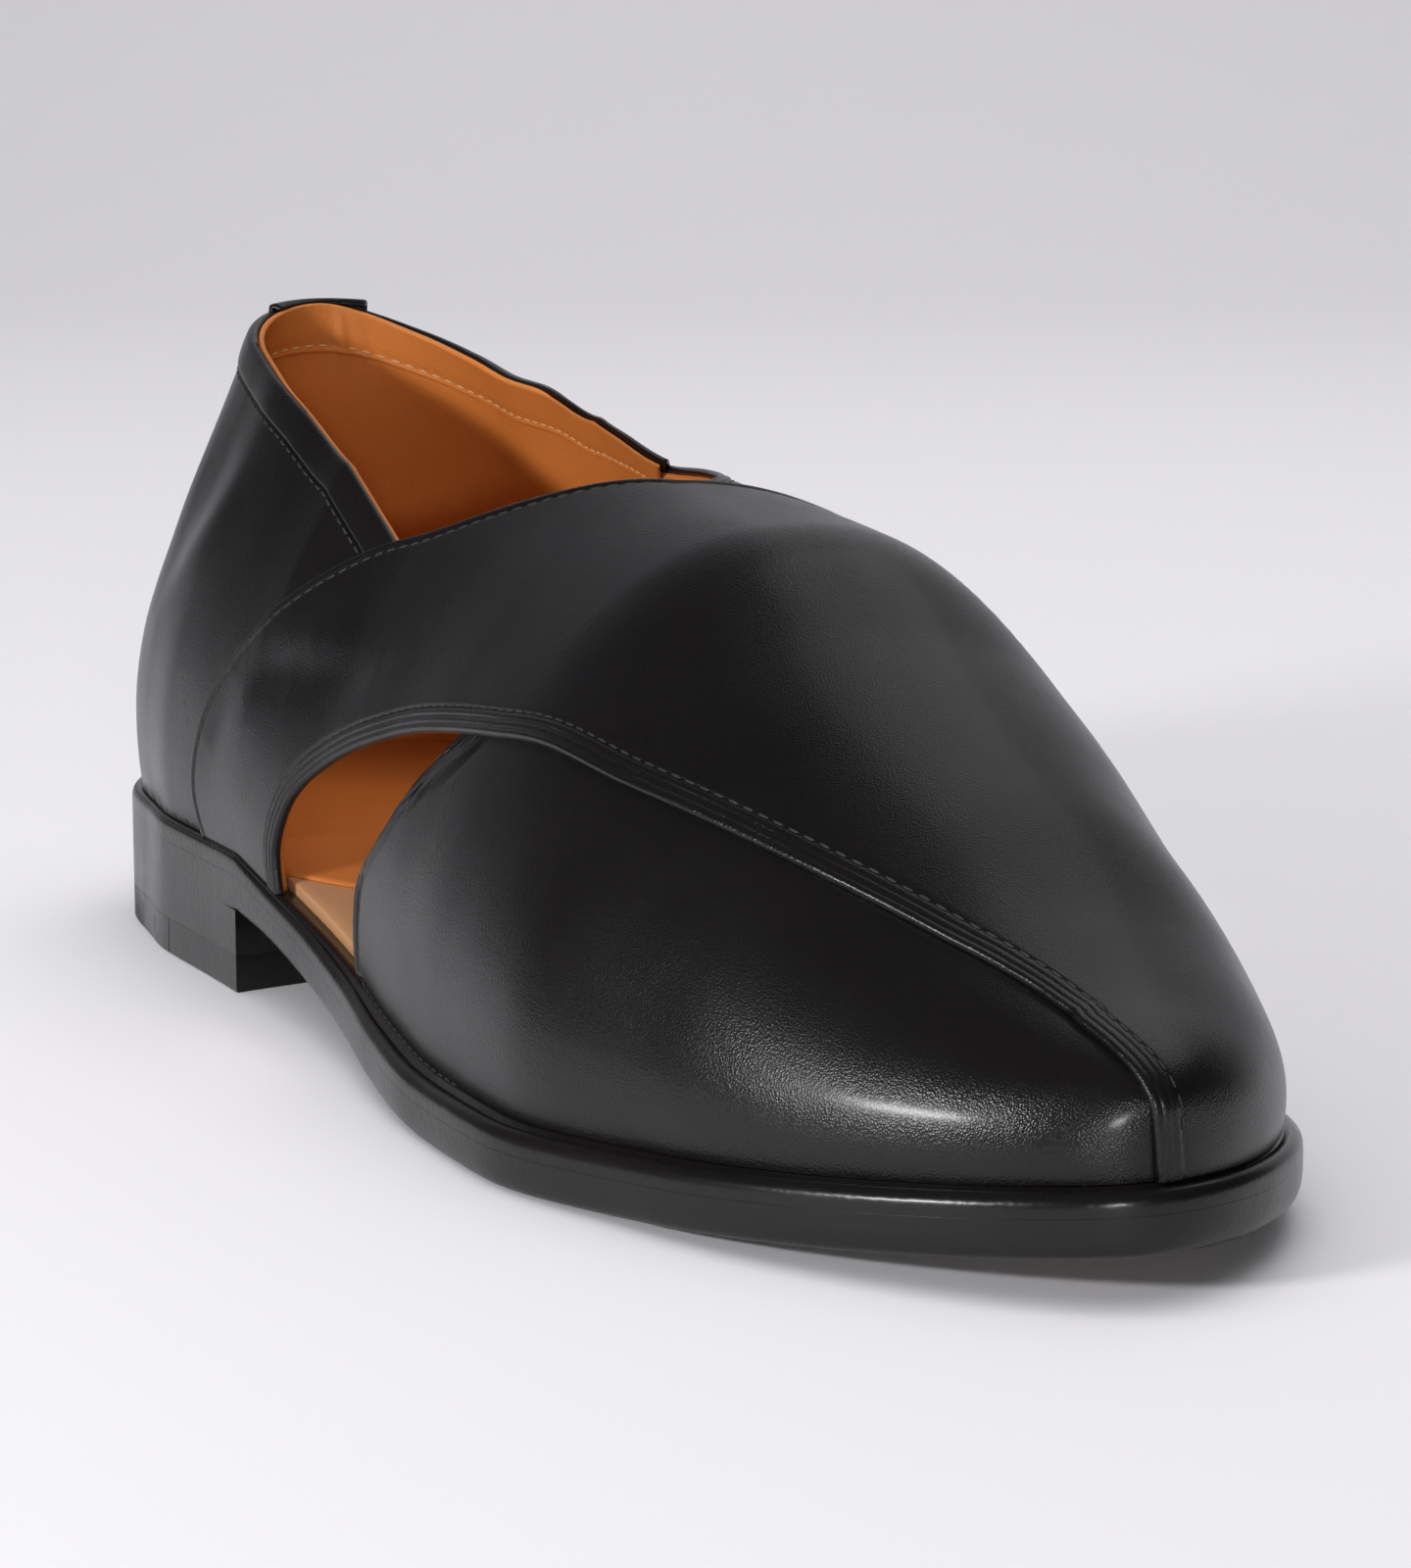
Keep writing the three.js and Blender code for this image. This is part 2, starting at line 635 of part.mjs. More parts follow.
const shoe = new THREE.Group();
for (const { name, geometry, color, roughness } of pieces) {
  const mesh = new THREE.Mesh(geometry, new THREE.MeshStandardMaterial({ color, roughness, metalness: 0 }));
  mesh.name = name;
  shoe.add(mesh);
}

// The origin goes under the middle of the sole's box
function widest(side) {
  const halves = Array.from({ length: soleSteps }, (_, i) => soleHalf(soleLength * i / soleSteps)[side]);
  return Math.max(...halves);
}
shoe.position.set(-soleLength / 2, (widest('lateral') - widest('medial')) / 2, 0);

const object = new THREE.Group();
object.add(shoe);

export default object;
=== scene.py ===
"""Looks of a closed-toe peshawari chappal, a right shoe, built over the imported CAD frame.

Every surface is worked out in millimetres in the sole's own frame: x runs from the heel's back to the toe,
y to the medial side and z up. The meshes are then moved to the CAD frame, in metres.
"""

import json
import logging
import math
from dataclasses import dataclass, field, replace
from enum import Enum

import bpy
import numpy as np
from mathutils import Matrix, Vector

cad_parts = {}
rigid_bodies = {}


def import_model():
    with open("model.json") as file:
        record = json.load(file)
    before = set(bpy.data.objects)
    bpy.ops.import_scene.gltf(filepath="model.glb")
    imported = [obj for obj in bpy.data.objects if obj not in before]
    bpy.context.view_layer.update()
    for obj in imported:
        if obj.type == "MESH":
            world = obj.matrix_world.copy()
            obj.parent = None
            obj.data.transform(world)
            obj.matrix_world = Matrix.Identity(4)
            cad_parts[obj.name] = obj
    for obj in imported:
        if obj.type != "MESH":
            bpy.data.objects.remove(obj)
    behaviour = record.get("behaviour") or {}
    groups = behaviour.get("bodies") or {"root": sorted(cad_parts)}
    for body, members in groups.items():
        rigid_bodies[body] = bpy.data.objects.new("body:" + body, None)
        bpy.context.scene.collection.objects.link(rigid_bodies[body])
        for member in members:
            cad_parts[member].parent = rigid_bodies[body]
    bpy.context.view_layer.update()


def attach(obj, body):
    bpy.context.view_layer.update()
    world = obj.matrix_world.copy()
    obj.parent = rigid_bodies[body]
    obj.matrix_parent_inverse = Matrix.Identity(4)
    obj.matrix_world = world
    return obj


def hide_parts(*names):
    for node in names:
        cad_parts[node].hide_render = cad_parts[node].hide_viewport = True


LOG = logging.getLogger("chappal")

# Driving sizes, in millimetres, the same as the CAD's
SOLE_LENGTH = 300.0
BALL_WIDTH = 106.0
HEEL_ROUND = 37.0
TOE_ROUND = 62.0
HEEL_HEIGHT = 13.5
HEEL_BREAST = 87.5
BREAST_HOLLOW = 3.0
TOP_PIECE_HEIGHT = 6.0
TOP_PIECE_SPLIT = 46.0
TOP_PIECE_SPLIT_SLANT = 0.23
OUTSOLE_THICKNESS = 5.2
WELT_THICKNESS = 3.2
INSOLE_RISE = 1.2
TOE_SPRING = 6.6
SEATING_GAP = 0.3
INSTEP_HEIGHT = 75.0
HEEL_SHELF = 0.6
TOE_SHELF = 3.0
TIP_SHIFT = 2.0
WALL_INSET = 3.4
BACK_LEAN = 34.0
LEAN_REACH = 130.0
TOE_NOSE = 26.0
BACK_STRIP_WIDTH = 19.0
FLOOR_START = 0.62
FLOOR_END = 0.69
SPRING_POWER = 1.7
WAIST_POWER = 1.6
WAIST_FULLNESS = 0.3
LAST_START = HEEL_SHELF
LAST_END = SOLE_LENGTH - TOE_SHELF
LAST_TOE_ROUND = TOE_ROUND - TOE_SHELF
MID_SHIFT_Y = 1.378

# Half widths of the sole, as shares of the ball width: station, lateral, medial
OUTLINE_ROWS = (
    (0.00, 0.345, 0.335),
    (0.10, 0.345, 0.332),
    (0.18, 0.378, 0.328),
    (0.26, 0.385, 0.308),
    (0.38, 0.402, 0.250),
    (0.46, 0.430, 0.300),
    (0.53, 0.470, 0.392),
    (0.60, 0.500, 0.455),
    (0.69, 0.513, 0.487),
    (0.80, 0.440, 0.432),
    (0.90, 0.362, 0.412),
    (1.00, 0.275, 0.360),
)

# Sections of the last: station, crest and ridge as shares of the instep height, squareness lateral and medial
SECTION_ROWS = (
    (0.00, 1.387, 0.000, 1.66, 1.66),
    (0.07, 1.366, 0.006, 1.67, 1.70),
    (0.15, 1.318, 0.013, 1.68, 1.74),
    (0.21, 1.246, 0.020, 1.71, 1.98),
    (0.28, 1.133, 0.027, 1.75, 2.30),
    (0.40, 1.010, 0.053, 1.90, 3.30),
    (0.50, 1.003, 0.053, 1.95, 3.00),
    (0.60, 0.987, 0.053, 2.00, 2.90),
    (0.70, 0.810, 0.040, 2.10, 2.60),
    (0.80, 0.597, 0.027, 2.20, 2.40),
    (0.88, 0.393, 0.013, 2.20, 2.30),
    (0.94, 0.280, 0.000, 2.30, 2.50),
    (1.00, 0.233, 0.000, 2.40, 2.60),
)

# Swell of each side beyond its section, as shares of the ball width: station, lateral, medial
BULGE_ROWS = (
    (0.00, 0.026, 0.026),
    (0.15, 0.026, 0.028),
    (0.28, 0.020, 0.042),
    (0.40, 0.014, 0.080),
    (0.50, 0.014, 0.057),
    (0.60, 0.014, 0.036),
    (0.70, 0.014, 0.028),
    (0.80, 0.014, 0.022),
    (0.88, 0.011, 0.011),
    (0.94, 0.009, 0.009),
    (1.00, 0.009, 0.009),
)

# Forward lean of the counter: share of the height, share of the back lean
LEAN_ROWS = (
    (0.00, 0.00),
    (0.14, 0.01),
    (0.27, 0.10),
    (0.45, 0.38),
    (0.66, 0.65),
    (0.74, 0.69),
    (0.80, 0.70),
    (1.00, 0.80),
)

# Strap-and-vamp panel: rear station, rear turn, front station, front turn
PANEL_ROWS = (
    (0.236, -1.000, 0.354, -1.000),
    (0.226, -0.920, 0.352, -0.940),
    (0.236, -0.825, 0.362, -0.870),
    (0.258, -0.742, 0.378, -0.820),
    (0.290, -0.662, 0.400, -0.776),
    (0.330, -0.563, 0.425, -0.736),
    (0.372, -0.465, 0.455, -0.696),
    (0.412, -0.388, 0.490, -0.655),
    (0.447, -0.300, 0.530, -0.618),
    (0.480, -0.188, 0.572, -0.587),
    (0.511, -0.030, 0.615, -0.560),
    (0.538, 0.150, 0.660, -0.523),
    (0.568, 0.330, 0.702, -0.484),
    (0.583, 0.470, 0.740, -0.450),
    (0.570, 0.590, 0.772, -0.420),
    (0.537, 0.672, 0.800, -0.388),
    (0.495, 0.780, 0.824, -0.352),
    (0.466, 0.890, 0.846, -0.310),
    (0.470, 1.000, 0.866, -0.268),
    (0.600, 1.000, 0.886, -0.226),
    (0.720, 1.000, 0.906, -0.182),
    (0.820, 1.000, 0.926, -0.140),
    (0.895, 1.000, 0.946, -0.112),
    (0.950, 1.000, 0.964, -0.092),
    (0.976, 1.000, 0.978, -0.076),
    (0.989, 1.000, 0.989, -0.052),
    (0.996, 1.000, 0.996, -0.015),
    (1.000, 1.000, 1.000, 0.120),
)
PANEL_FOOT_ROW = 18

# End of the top panel, which turns down over the toe as a bead: share along the panel, how far before the tip
# its foot, its middle and its edge lie (as angles, past the tip below 0), and the turn of its middle and edge
TIP_ROWS = (
    (0.8148, 0.660, 0.490, 0.470, 0.00, 0.122),
    (0.8500, 0.530, 0.405, 0.390, 0.00, 0.122),
    (0.8850, 0.380, 0.300, 0.290, 0.00, 0.132),
    (0.9150, 0.240, 0.185, 0.200, 0.00, 0.165),
    (0.9400, 0.130, 0.085, 0.130, 0.00, 0.240),
    (0.9550, 0.060, 0.020, 0.095, 0.00, 0.320),
    (0.9650, 0.000, -0.004, 0.072, 0.15, 0.420),
    (0.9800, -0.010, -0.012, 0.050, 0.42, 0.600),
    (0.9920, -0.020, -0.022, 0.036, 0.75, 0.820),
    (1.0000, -0.028, -0.029, 0.030, 0.97, 0.985),
)
TIP_MIDDLE = 0.7

# Topline of the quarter: station, turn on the lateral and on the medial side
TOPLINE_ROWS = (
    (0.00, 0.393, 0.393),
    (0.05, 0.405, 0.427),
    (0.10, 0.418, 0.448),
    (0.15, 0.428, 0.456),
    (0.20, 0.433, 0.458),
    (0.25, 0.436, 0.451),
    (0.30, 0.440, 0.434),
    (0.35, 0.450, 0.387),
    (0.40, 0.470, 0.330),
)

# Closed channel on the underside, a loop in x and y, the lateral side first
CHANNEL_POINTS = (
    (84.0, -34.0),
    (104.0, -38.0),
    (134.6, -41.5),
    (181.2, -43.9),
    (225.6, -40.5),
    (257.4, -28.9),
    (278.0, -11.5),
    (282.7, 2.1),
    (272.0, 22.0),
    (236.9, 39.5),
    (204.9, 41.9),
    (182.6, 38.6),
    (142.3, 21.6),
    (117.5, 13.4),
    (84.0, 8.0),
)
SOCK_TIP = 117.0
SOCK_FALL = 18.0
SOCK_THICKNESS = 0.6

# How much nearer the crest the under strap's upper edge lies: share along the panel, lift
UNDER_LIFT_ROWS = (
    (0.00, 0.000),
    (0.16, 0.000),
    (0.20, 0.030),
    (0.24, 0.045),
    (0.28, 0.045),
    (0.32, 0.030),
    (0.38, 0.000),
    (1.00, 0.000),
)


class SmoothTable:
    """Monotone cubic curves through the columns of a short table, over its first column."""

    def __init__(self, rows: tuple) -> None:
        """Keeps the table and works out a slope at each row.

        Args:
            rows: The table's rows, the key first.
        """
        data = np.array(rows, float)
        self.keys = data[:, 0]
        self.values = data[:, 1:]
        slopes = np.diff(self.values, axis=0) / np.diff(self.keys)[:, None]
        product = slopes[:-1] * slopes[1:]
        total = np.where(np.abs(slopes[:-1] + slopes[1:]) > 1e-12, slopes[:-1] + slopes[1:], 1.0)
        inner = np.where(product > 0, 2 * product / total, 0.0)
        self.slopes = np.vstack([slopes[:1], inner, slopes[-1:]])

    def column(self, index: int, key: np.ndarray) -> np.ndarray:
        """Reads one column at any keys.

        Args:
            index: Column after the key, from 0.
            key: Where to read it. Keys past the ends read as the ends.

        Returns:
            The column's values at those keys.
        """
        bounded = np.clip(key, self.keys[0], self.keys[-1])
        i = np.clip(np.searchsorted(self.keys, bounded, side="left") - 1, 0, len(self.keys) - 2)
        width = self.keys[i + 1] - self.keys[i]
        t = (bounded - self.keys[i]) / width
        rest = 1 - t
        y, m = self.values[:, index], self.slopes[:, index]
        return (
            y[i] * rest * rest * (1 + 2 * t)
            + m[i] * width * t * rest * rest
            + y[i + 1] * t * t * (3 - 2 * t)
            - m[i + 1] * width * t * t * rest
        )


OUTLINE = SmoothTable(OUTLINE_ROWS)
SECTION = SmoothTable(SECTION_ROWS)
BULGE = SmoothTable(BULGE_ROWS)
LEAN = SmoothTable(LEAN_ROWS)
TOPLINE = SmoothTable(TOPLINE_ROWS)
UNDER_LIFT = SmoothTable(UNDER_LIFT_ROWS)
TIP = SmoothTable(TIP_ROWS)
PANEL = SmoothTable(tuple((i / (len(PANEL_ROWS) - 1), *row) for i, row in enumerate(PANEL_ROWS)))


def smoothstep(x: np.ndarray, low: float, high: float) -> np.ndarray:
    """Eases from 0 to 1 between two values.

    Args:
        x: Where to read it.
        low: Where it leaves 0.
        high: Where it reaches 1.

    Returns:
        The eased share.
    """
    t = np.clip((np.asarray(x, float) - low) / (high - low), 0, 1)
    return t * t * (3 - 2 * t)


def end_rounding(x: np.ndarray, start: float, end: float, start_round: float, end_round: float) -> np.ndarray:
    """Rounds both ends of an outline: 0 at its tips and 1 between them.

    Args:
        x: Place along the outline.
        start: The outline's start.
        end: Its end.
        start_round: Length of the round at the start.
        end_round: Length of the round at the end.

    Returns:
        The share of the half width that is left.
    """
    back = np.clip((start + start_round - x) / start_round, 0, 1)
    front = np.clip((x - end + end_round) / end_round, 0, 1)
    return np.sqrt(1 - back**2) * np.sqrt(1 - front**2)


def axis_at(x: np.ndarray) -> np.ndarray:
    """Sideways bend of the sole's axis: none to four fifths of the length, then growing with the square.

    Args:
        x: Place along the sole.

    Returns:
        The axis's y.
    """
    return -TIP_SHIFT * np.clip((x / SOLE_LENGTH - 0.8) / 0.2, 0, 1) ** 2


def sole_half(x: np.ndarray, medial: np.ndarray) -> np.ndarray:
    """Half width of the sole.

    Args:
        x: Place along the sole.
        medial: Whether the medial side is meant, else the lateral.

    Returns:
        The half width.
    """
    rounding = end_rounding(x, 0, SOLE_LENGTH, HEEL_ROUND, TOE_ROUND)
    station = x / SOLE_LENGTH
    share = np.where(medial, OUTLINE.column(1, station), OUTLINE.column(0, station))
    return share * BALL_WIDTH * rounding


def underside_height(x: np.ndarray) -> np.ndarray:
    """Underside of the outsole: level over the heel, down through the waist, flat at the ball, up at the toe.

    Args:
        x: Place along the sole.

    Returns:
        The height over the floor.
    """
    waist = np.clip((x - HEEL_BREAST) / (FLOOR_START * SOLE_LENGTH - HEEL_BREAST), 0, 1)
    spring = np.clip((x / SOLE_LENGTH - FLOOR_END) / (1 - FLOOR_END), 0, 1)
    drop = HEEL_HEIGHT * (1 - waist) ** WAIST_POWER * (1 + WAIST_FULLNESS * waist)
    return drop + TOE_SPRING * spring**SPRING_POWER


def welt_base(x: np.ndarray) -> np.ndarray:
    """Height of the welt's underside at x."""
    return underside_height(x) + OUTSOLE_THICKNESS + SEATING_GAP


def feather_height(x: np.ndarray) -> np.ndarray:
    """Height at which the upper meets the welt at x."""
    return welt_base(x) + WELT_THICKNESS + SEATING_GAP


def shelf_at(x: np.ndarray) -> np.ndarray:
    """How far the upper stands in from the sole's outline at x."""
    forward = smoothstep(x, HEEL_BREAST, FLOOR_START * SOLE_LENGTH)
    return HEEL_SHELF + (TOE_SHELF - HEEL_SHELF) * forward


def station_angle(station: np.ndarray) -> np.ndarray:
    """Angle of a station between the last's heel (0) and toe (pi)."""
    return np.arccos(np.clip(1 - 2 * np.asarray(station, float), -1, 1))


def face(angle: np.ndarray, turn: np.ndarray) -> np.ndarray:
    """Points of the last's outer face.

    The length runs as half of one minus the angle's cosine. A section is a superellipse: the turn leans from the
    crest to the feather line, the sine gives the width and the cosine the height. A swell, a ridge, a shortened
    nose and the forward lean of the counter are added.

    Args:
        angle: 0 at the heel to pi at the toe. Past either end it comes back on the other side.
        turn: -1 at the lateral feather line, 0 on the crest, 1 at the medial feather line.

    Returns:
        An array of points with x, y, z last.
    """
    angle, turn = np.broadcast_arrays(np.asarray(angle, float), np.asarray(turn, float))
    turn = np.where((angle < 0) | (angle > math.pi), -turn, turn)
    angle = np.where(angle < 0, -angle, np.where(angle > math.pi, 2 * math.pi - angle, angle))
    x = LAST_START + (LAST_END - LAST_START) * (1 - np.cos(angle)) / 2
    station = x / SOLE_LENGTH
    lateral = turn < 0
    outward = np.where(lateral, -1.0, 1.0)
    rounding = end_rounding(x, LAST_START, LAST_END, HEEL_ROUND, LAST_TOE_ROUND)
    side_share = np.where(lateral, OUTLINE.column(0, station), OUTLINE.column(1, station))
    half = side_share * BALL_WIDTH - shelf_at(x)
    square = np.where(lateral, SECTION.column(2, station), SECTION.column(3, station))
    bulge = np.where(lateral, BULGE.column(0, station), BULGE.column(1, station)) * BALL_WIDTH
    lean = np.abs(turn) * math.pi / 2
    across = np.sin(lean) ** (2 / square)
    rise = np.maximum(np.cos(lean), 0) ** (2 / square)
    nose_run = np.clip((x - LAST_END + TOE_NOSE) / TOE_NOSE, 0, 1)
    nose = 0.45 + 0.55 * (1 - nose_run**2.2) ** (1 / 2.2)
    crest = SECTION.column(0, station) * INSTEP_HEIGHT * nose
    swell = bulge * 6.75 * rise * (1 - rise) ** 2
    ridge = SECTION.column(1, station) * INSTEP_HEIGHT * rise
    y = axis_at(x) + rounding * (outward * (half * across + swell) + ridge)
    z = feather_height(x) + crest * rise
    share = np.clip(1 - x / LEAN_REACH, 0, 1) ** 1.5
    return np.stack([x + BACK_LEAN * LEAN.column(0, rise) * share, y, z], axis=-1)


def face_normal(angle: np.ndarray, turn: np.ndarray) -> np.ndarray:
    """Outward normals of the last's face, levelled at the feather line.

    Args:
        angle: As in face.
        turn: As in face.

    Returns:
        Unit vectors.
    """
    step = 0.002
    along = face(angle + step, turn) - face(angle - step, turn)
    around = face(angle, np.minimum(turn + step, 1)) - face(angle, np.maximum(turn - step, -1))
    normal = unit(np.cross(along, around))
    normal[..., 2] *= np.clip((1 - np.abs(turn)) / 0.06, 0, 1)
    return unit(normal)


def unit(vectors: np.ndarray) -> np.ndarray:
    """Scales vectors to length 1.

    Args:
        vectors: An array with x, y, z last.

    Returns:
        The unit vectors.
    """
    length = np.linalg.norm(vectors, axis=-1, keepdims=True)
    return vectors / np.maximum(length, 1e-12)


@dataclass(frozen=True)
class Crease:
    """A soft trough (or, with a negative depth, a ridge) between two places on the last."""

    start: tuple[float, float]
    end: tuple[float, float]
    width: float
    depth: float

    def depth_at(self, points: np.ndarray) -> np.ndarray:
        """Depth of the trough: a bell over the distance from its line, fading at the ends.

        Args:
            points: Points of the outer face.

        Returns:
            How far each sinks.
        """
        ends = face(station_angle([self.start[0], self.end[0]]), np.array([self.start[1], self.end[1]]))
        run = ends[1] - ends[0]
        share = np.clip((points - ends[0]) @ run / (run @ run), 0, 1)
        nearest = ends[0] + share[..., None] * run
        distance = np.linalg.norm(points - nearest, axis=-1)
        fade = 0.25 + 0.75 * np.sin(math.pi * share)
        return self.depth * fade * np.exp(-((distance / self.width) ** 2))


@dataclass(frozen=True)
class EdgeRelief:
    """Profile of a folded leather edge, by the distance from it."""

    round_radius: float
    cords: int
    cord_pitch: float
    cord_height: float
    grooves: tuple[float, ...] = ()
    groove_width: float = 0.3
    groove_depth: float = 0.25

    def depth_at(self, distance: np.ndarray) -> np.ndarray:
        """Depth below the plain face: a quarter round at the edge, raised cords side by side, and grooves.

        Args:
            distance: Distance from the edge.

        Returns:
            How far each point sinks.
        """
        near = np.clip(self.round_radius - distance, 0, self.round_radius)
        depth = self.round_radius - np.sqrt(self.round_radius**2 - near**2)
        phase = 2 * ((distance / self.cord_pitch) % 1.0) - 1
        dome = np.sqrt(np.maximum(1 - phase**2, 0))
        depth = depth - np.where(distance < self.cords * self.cord_pitch, self.cord_height * dome, 0.0)
        for groove in self.grooves:
            depth = depth + self.groove_depth * np.exp(-(((distance - groove) / self.groove_width) ** 2))
        return depth


def to_frame(points: np.ndarray) -> np.ndarray:
    """Moves points from the sole's frame in millimetres to the CAD frame in metres.

    Args:
        points: Points with x, y, z last.

    Returns:
        A flat list of points.
    """
    shift = np.array([-SOLE_LENGTH / 2, MID_SHIFT_Y, 0.0])
    return ((points + shift) * 0.001).reshape(-1, 3)


def grid_quads(rows: int, columns: int, wrap: bool = False) -> np.ndarray:
    """Quads of a grid of points.

    Args:
        rows: Points one way.
        columns: Points the other way.
        wrap: Whether the last column joins the first.

    Returns:
        Indices, four to a row.
    """
    i = np.arange(rows - 1)[:, None]
    j = np.arange(columns if wrap else columns - 1)[None, :]
    k = (j + 1) % columns
    quads = np.stack(np.broadcast_arrays(i * columns + j, i * columns + k, (i + 1) * columns + k, (i + 1) * columns + j), -1)
    return quads.reshape(-1, 4)


def shell_quads(rows: int, columns: int) -> np.ndarray:
    """Quads of a closed shell between an outer and an inner grid of the same size.

    Args:
        rows: Points one way.
        columns: Points the other way.

    Returns:
        Indices, four to a row. The inner grid follows the outer one.
    """
    outer = grid_quads(rows, columns)
    inner = outer[:, ::-1] + rows * columns
    index = np.arange(rows * columns).reshape(rows, columns)
    rim = np.concatenate([index[0, :-1], index[:-1, -1], index[-1, :0:-1], index[:0:-1, 0]])
    following = np.roll(rim, -1)
    walls = np.stack([following, rim, rim + rows * columns, following + rows * columns], -1)
    return np.concatenate([outer, inner, walls])


def outward(points: np.ndarray, quads: np.ndarray) -> np.ndarray:
    """Turns a closed body's quads to face out.

    Args:
        points: The vertices.
        quads: The quads.

    Returns:
        The quads, all turned round when the body's volume came out negative.
    """
    a, b, c, d = (points[quads[:, k]] for k in range(4))
    volume = np.einsum("ij,ij->", a, np.cross(b, c)) + np.einsum("ij,ij->", a, np.cross(c, d))
    return quads[:, ::-1] if volume < 0 else quads


def build_object(
    name: str,
    points: np.ndarray,
    quads: np.ndarray,
    material: bpy.types.Material,
    attributes: dict[str, np.ndarray] | None = None,
    crisp: bool = False,
) -> bpy.types.Object:
    """Makes a mesh object in the CAD frame.

    Args:
        name: The piece's name.
        points: Vertices in the sole's frame, in millimetres.
        quads: Faces, four indices to a row. A triangle repeats its last index.
        material: Its material.
        attributes: Values for each vertex, by name.
        crisp: Whether its corners stay sharp.

    Returns:
        The object, linked to the scene.
    """
    flat = points.reshape(-1, 3)
    quads = outward(flat, quads)
    mesh = bpy.data.meshes.new(name)
    mesh.from_pydata(to_frame(flat).tolist(), [], [list(dict.fromkeys(q)) for q in quads.tolist()])
    for key, values in (attributes or {}).items():
        mesh.attributes.new(key, "FLOAT", "POINT").data.foreach_set("value", np.asarray(values, np.float32).ravel())
    mesh.polygons.foreach_set("use_smooth", np.full(len(mesh.polygons), True))
    mesh.materials.append(material)
    mesh.validate()
    mesh.update()
    if crisp:
        mesh.set_sharp_from_angle(angle=math.radians(30))
    piece = bpy.data.objects.new(name, mesh)
    bpy.context.scene.collection.objects.link(piece)
    return piece


class Slot(Enum):
    """Material slots of the record."""

    UPPER = "upper_leather"
    INSOLE = "insole_leather"
    EDGE = "edge_leather"
    SOLE = "sole_leather"
    RUBBER = "heel_rubber"


def settle(piece: bpy.types.Object, slot: Slot, *nodes: str) -> bpy.types.Object:
    """Gives a piece its body and hides the CAD nodes that it stands for.

    Args:
        piece: The piece.
        slot: The record's material slot. It is not used.
        nodes: CAD nodes that it replaces.

    Returns:
        The piece.
    """
    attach(piece, "root")
    if nodes:
        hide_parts(*nodes)
    LOG.info("built %s: %d faces", piece.name, len(piece.data.polygons))
    return piece


@dataclass(frozen=True)
class LeatherFinish:
    """A leather or edge finish."""

    name: str
    color: tuple[float, float, float]
    shade: tuple[float, float, float]
    roughness: float
    roughness_spread: float
    coat: float
    coat_roughness: float
    grain_scale: float
    grain_depth: float
    wave_scale: float = 30.0
    wave_depth: float = 0.0
    cloud_scale: float = 18.0
    shine: float = 0.3


class Shader:
    """Small helper that adds and links the nodes of one material."""

    def __init__(self, name: str) -> None:
        """Starts an empty material.

        Args:
            name: The material's name.
        """
        self.material = bpy.data.materials.new(name)
        self.material.use_nodes = True
        self.tree = self.material.node_tree
        self.bsdf = self.tree.nodes["Principled BSDF"]
        self.coords = self.tree.nodes.new("ShaderNodeTexCoord").outputs["Object"]

    def node(self, kind: str, **values: object) -> bpy.types.Node:
        """Adds a node.

        Args:
            kind: Its type, after ShaderNode.
            values: Its properties, or its inputs by name with spaces as underscores.

        Returns:
            The node.
        """
        node = self.tree.nodes.new("ShaderNode" + kind)
        for key, value in values.items():
            if hasattr(node, key):
                setattr(node, key, value)
            else:
                node.inputs[key.replace("_", " ")].default_value = value
        return node

    def link(self, source: bpy.types.NodeSocket, target: bpy.types.NodeSocket) -> None:
        """Joins two sockets."""
        self.tree.links.new(source, target)

    def noise(self, scale: float, detail: float = 3.0, rough: float = 0.5, vector: object = None) -> bpy.types.NodeSocket:
        """Adds a noise texture on the object's coordinates.

        Args:
            scale: Its scale, per metre.
            detail: Its octaves.
            rough: Its roughness.
            vector: Another socket to read it on.

        Returns:
            Its value socket.
        """
        node = self.node("TexNoise", Scale=scale, Detail=detail, Roughness=rough)
        self.link(vector or self.coords, node.inputs["Vector"])
        return node.outputs["Fac"]

    def spread(self, source: bpy.types.NodeSocket, low: float, high: float, start: float = 0.3, end: float = 0.7) -> bpy.types.NodeSocket:
        """Maps a value from one range to another.

        Args:
            source: The value.
            low: Result at the range's start.
            high: Result at its end.
            start: The range's start.
            end: Its end.

        Returns:
            The mapped value's socket.
        """
        node = self.node("MapRange", From_Min=start, From_Max=end, To_Min=low, To_Max=high)
        self.link(source, node.inputs["Value"])
        return node.outputs["Result"]

    def mix(self, factor: bpy.types.NodeSocket, a: object, b: object) -> bpy.types.NodeSocket:
        """Mixes two colours.

        Args:
            factor: The share of the second.
            a: The first colour, as three numbers or a socket.
            b: The second.

        Returns:
            The colour socket.
        """
        node = self.node("Mix", data_type="RGBA")
        self.link(factor, node.inputs["Factor"])
        for name, value in (("A", a), ("B", b)):
            socket = next(s for s in node.inputs if s.name == name and s.type == "RGBA")
            if isinstance(value, tuple):
                socket.default_value = (*value, 1.0)
            else:
                self.link(value, socket)
        return next(s for s in node.outputs if s.type == "RGBA")

    def bump(self, height: bpy.types.NodeSocket, distance: float, strength: float = 1.0, normal: object = None) -> bpy.types.NodeSocket:
        """Adds a bump.

        Args:
            height: The height field.
            distance: Its size in metres.
            strength: Its strength.
            normal: A bump below it.

        Returns:
            The normal socket.
        """
        node = self.node("Bump", Distance=distance, Strength=strength)
        self.link(height, node.inputs["Height"])
        if normal is not None:
            self.link(normal, node.inputs["Normal"])
        return node.outputs["Normal"]


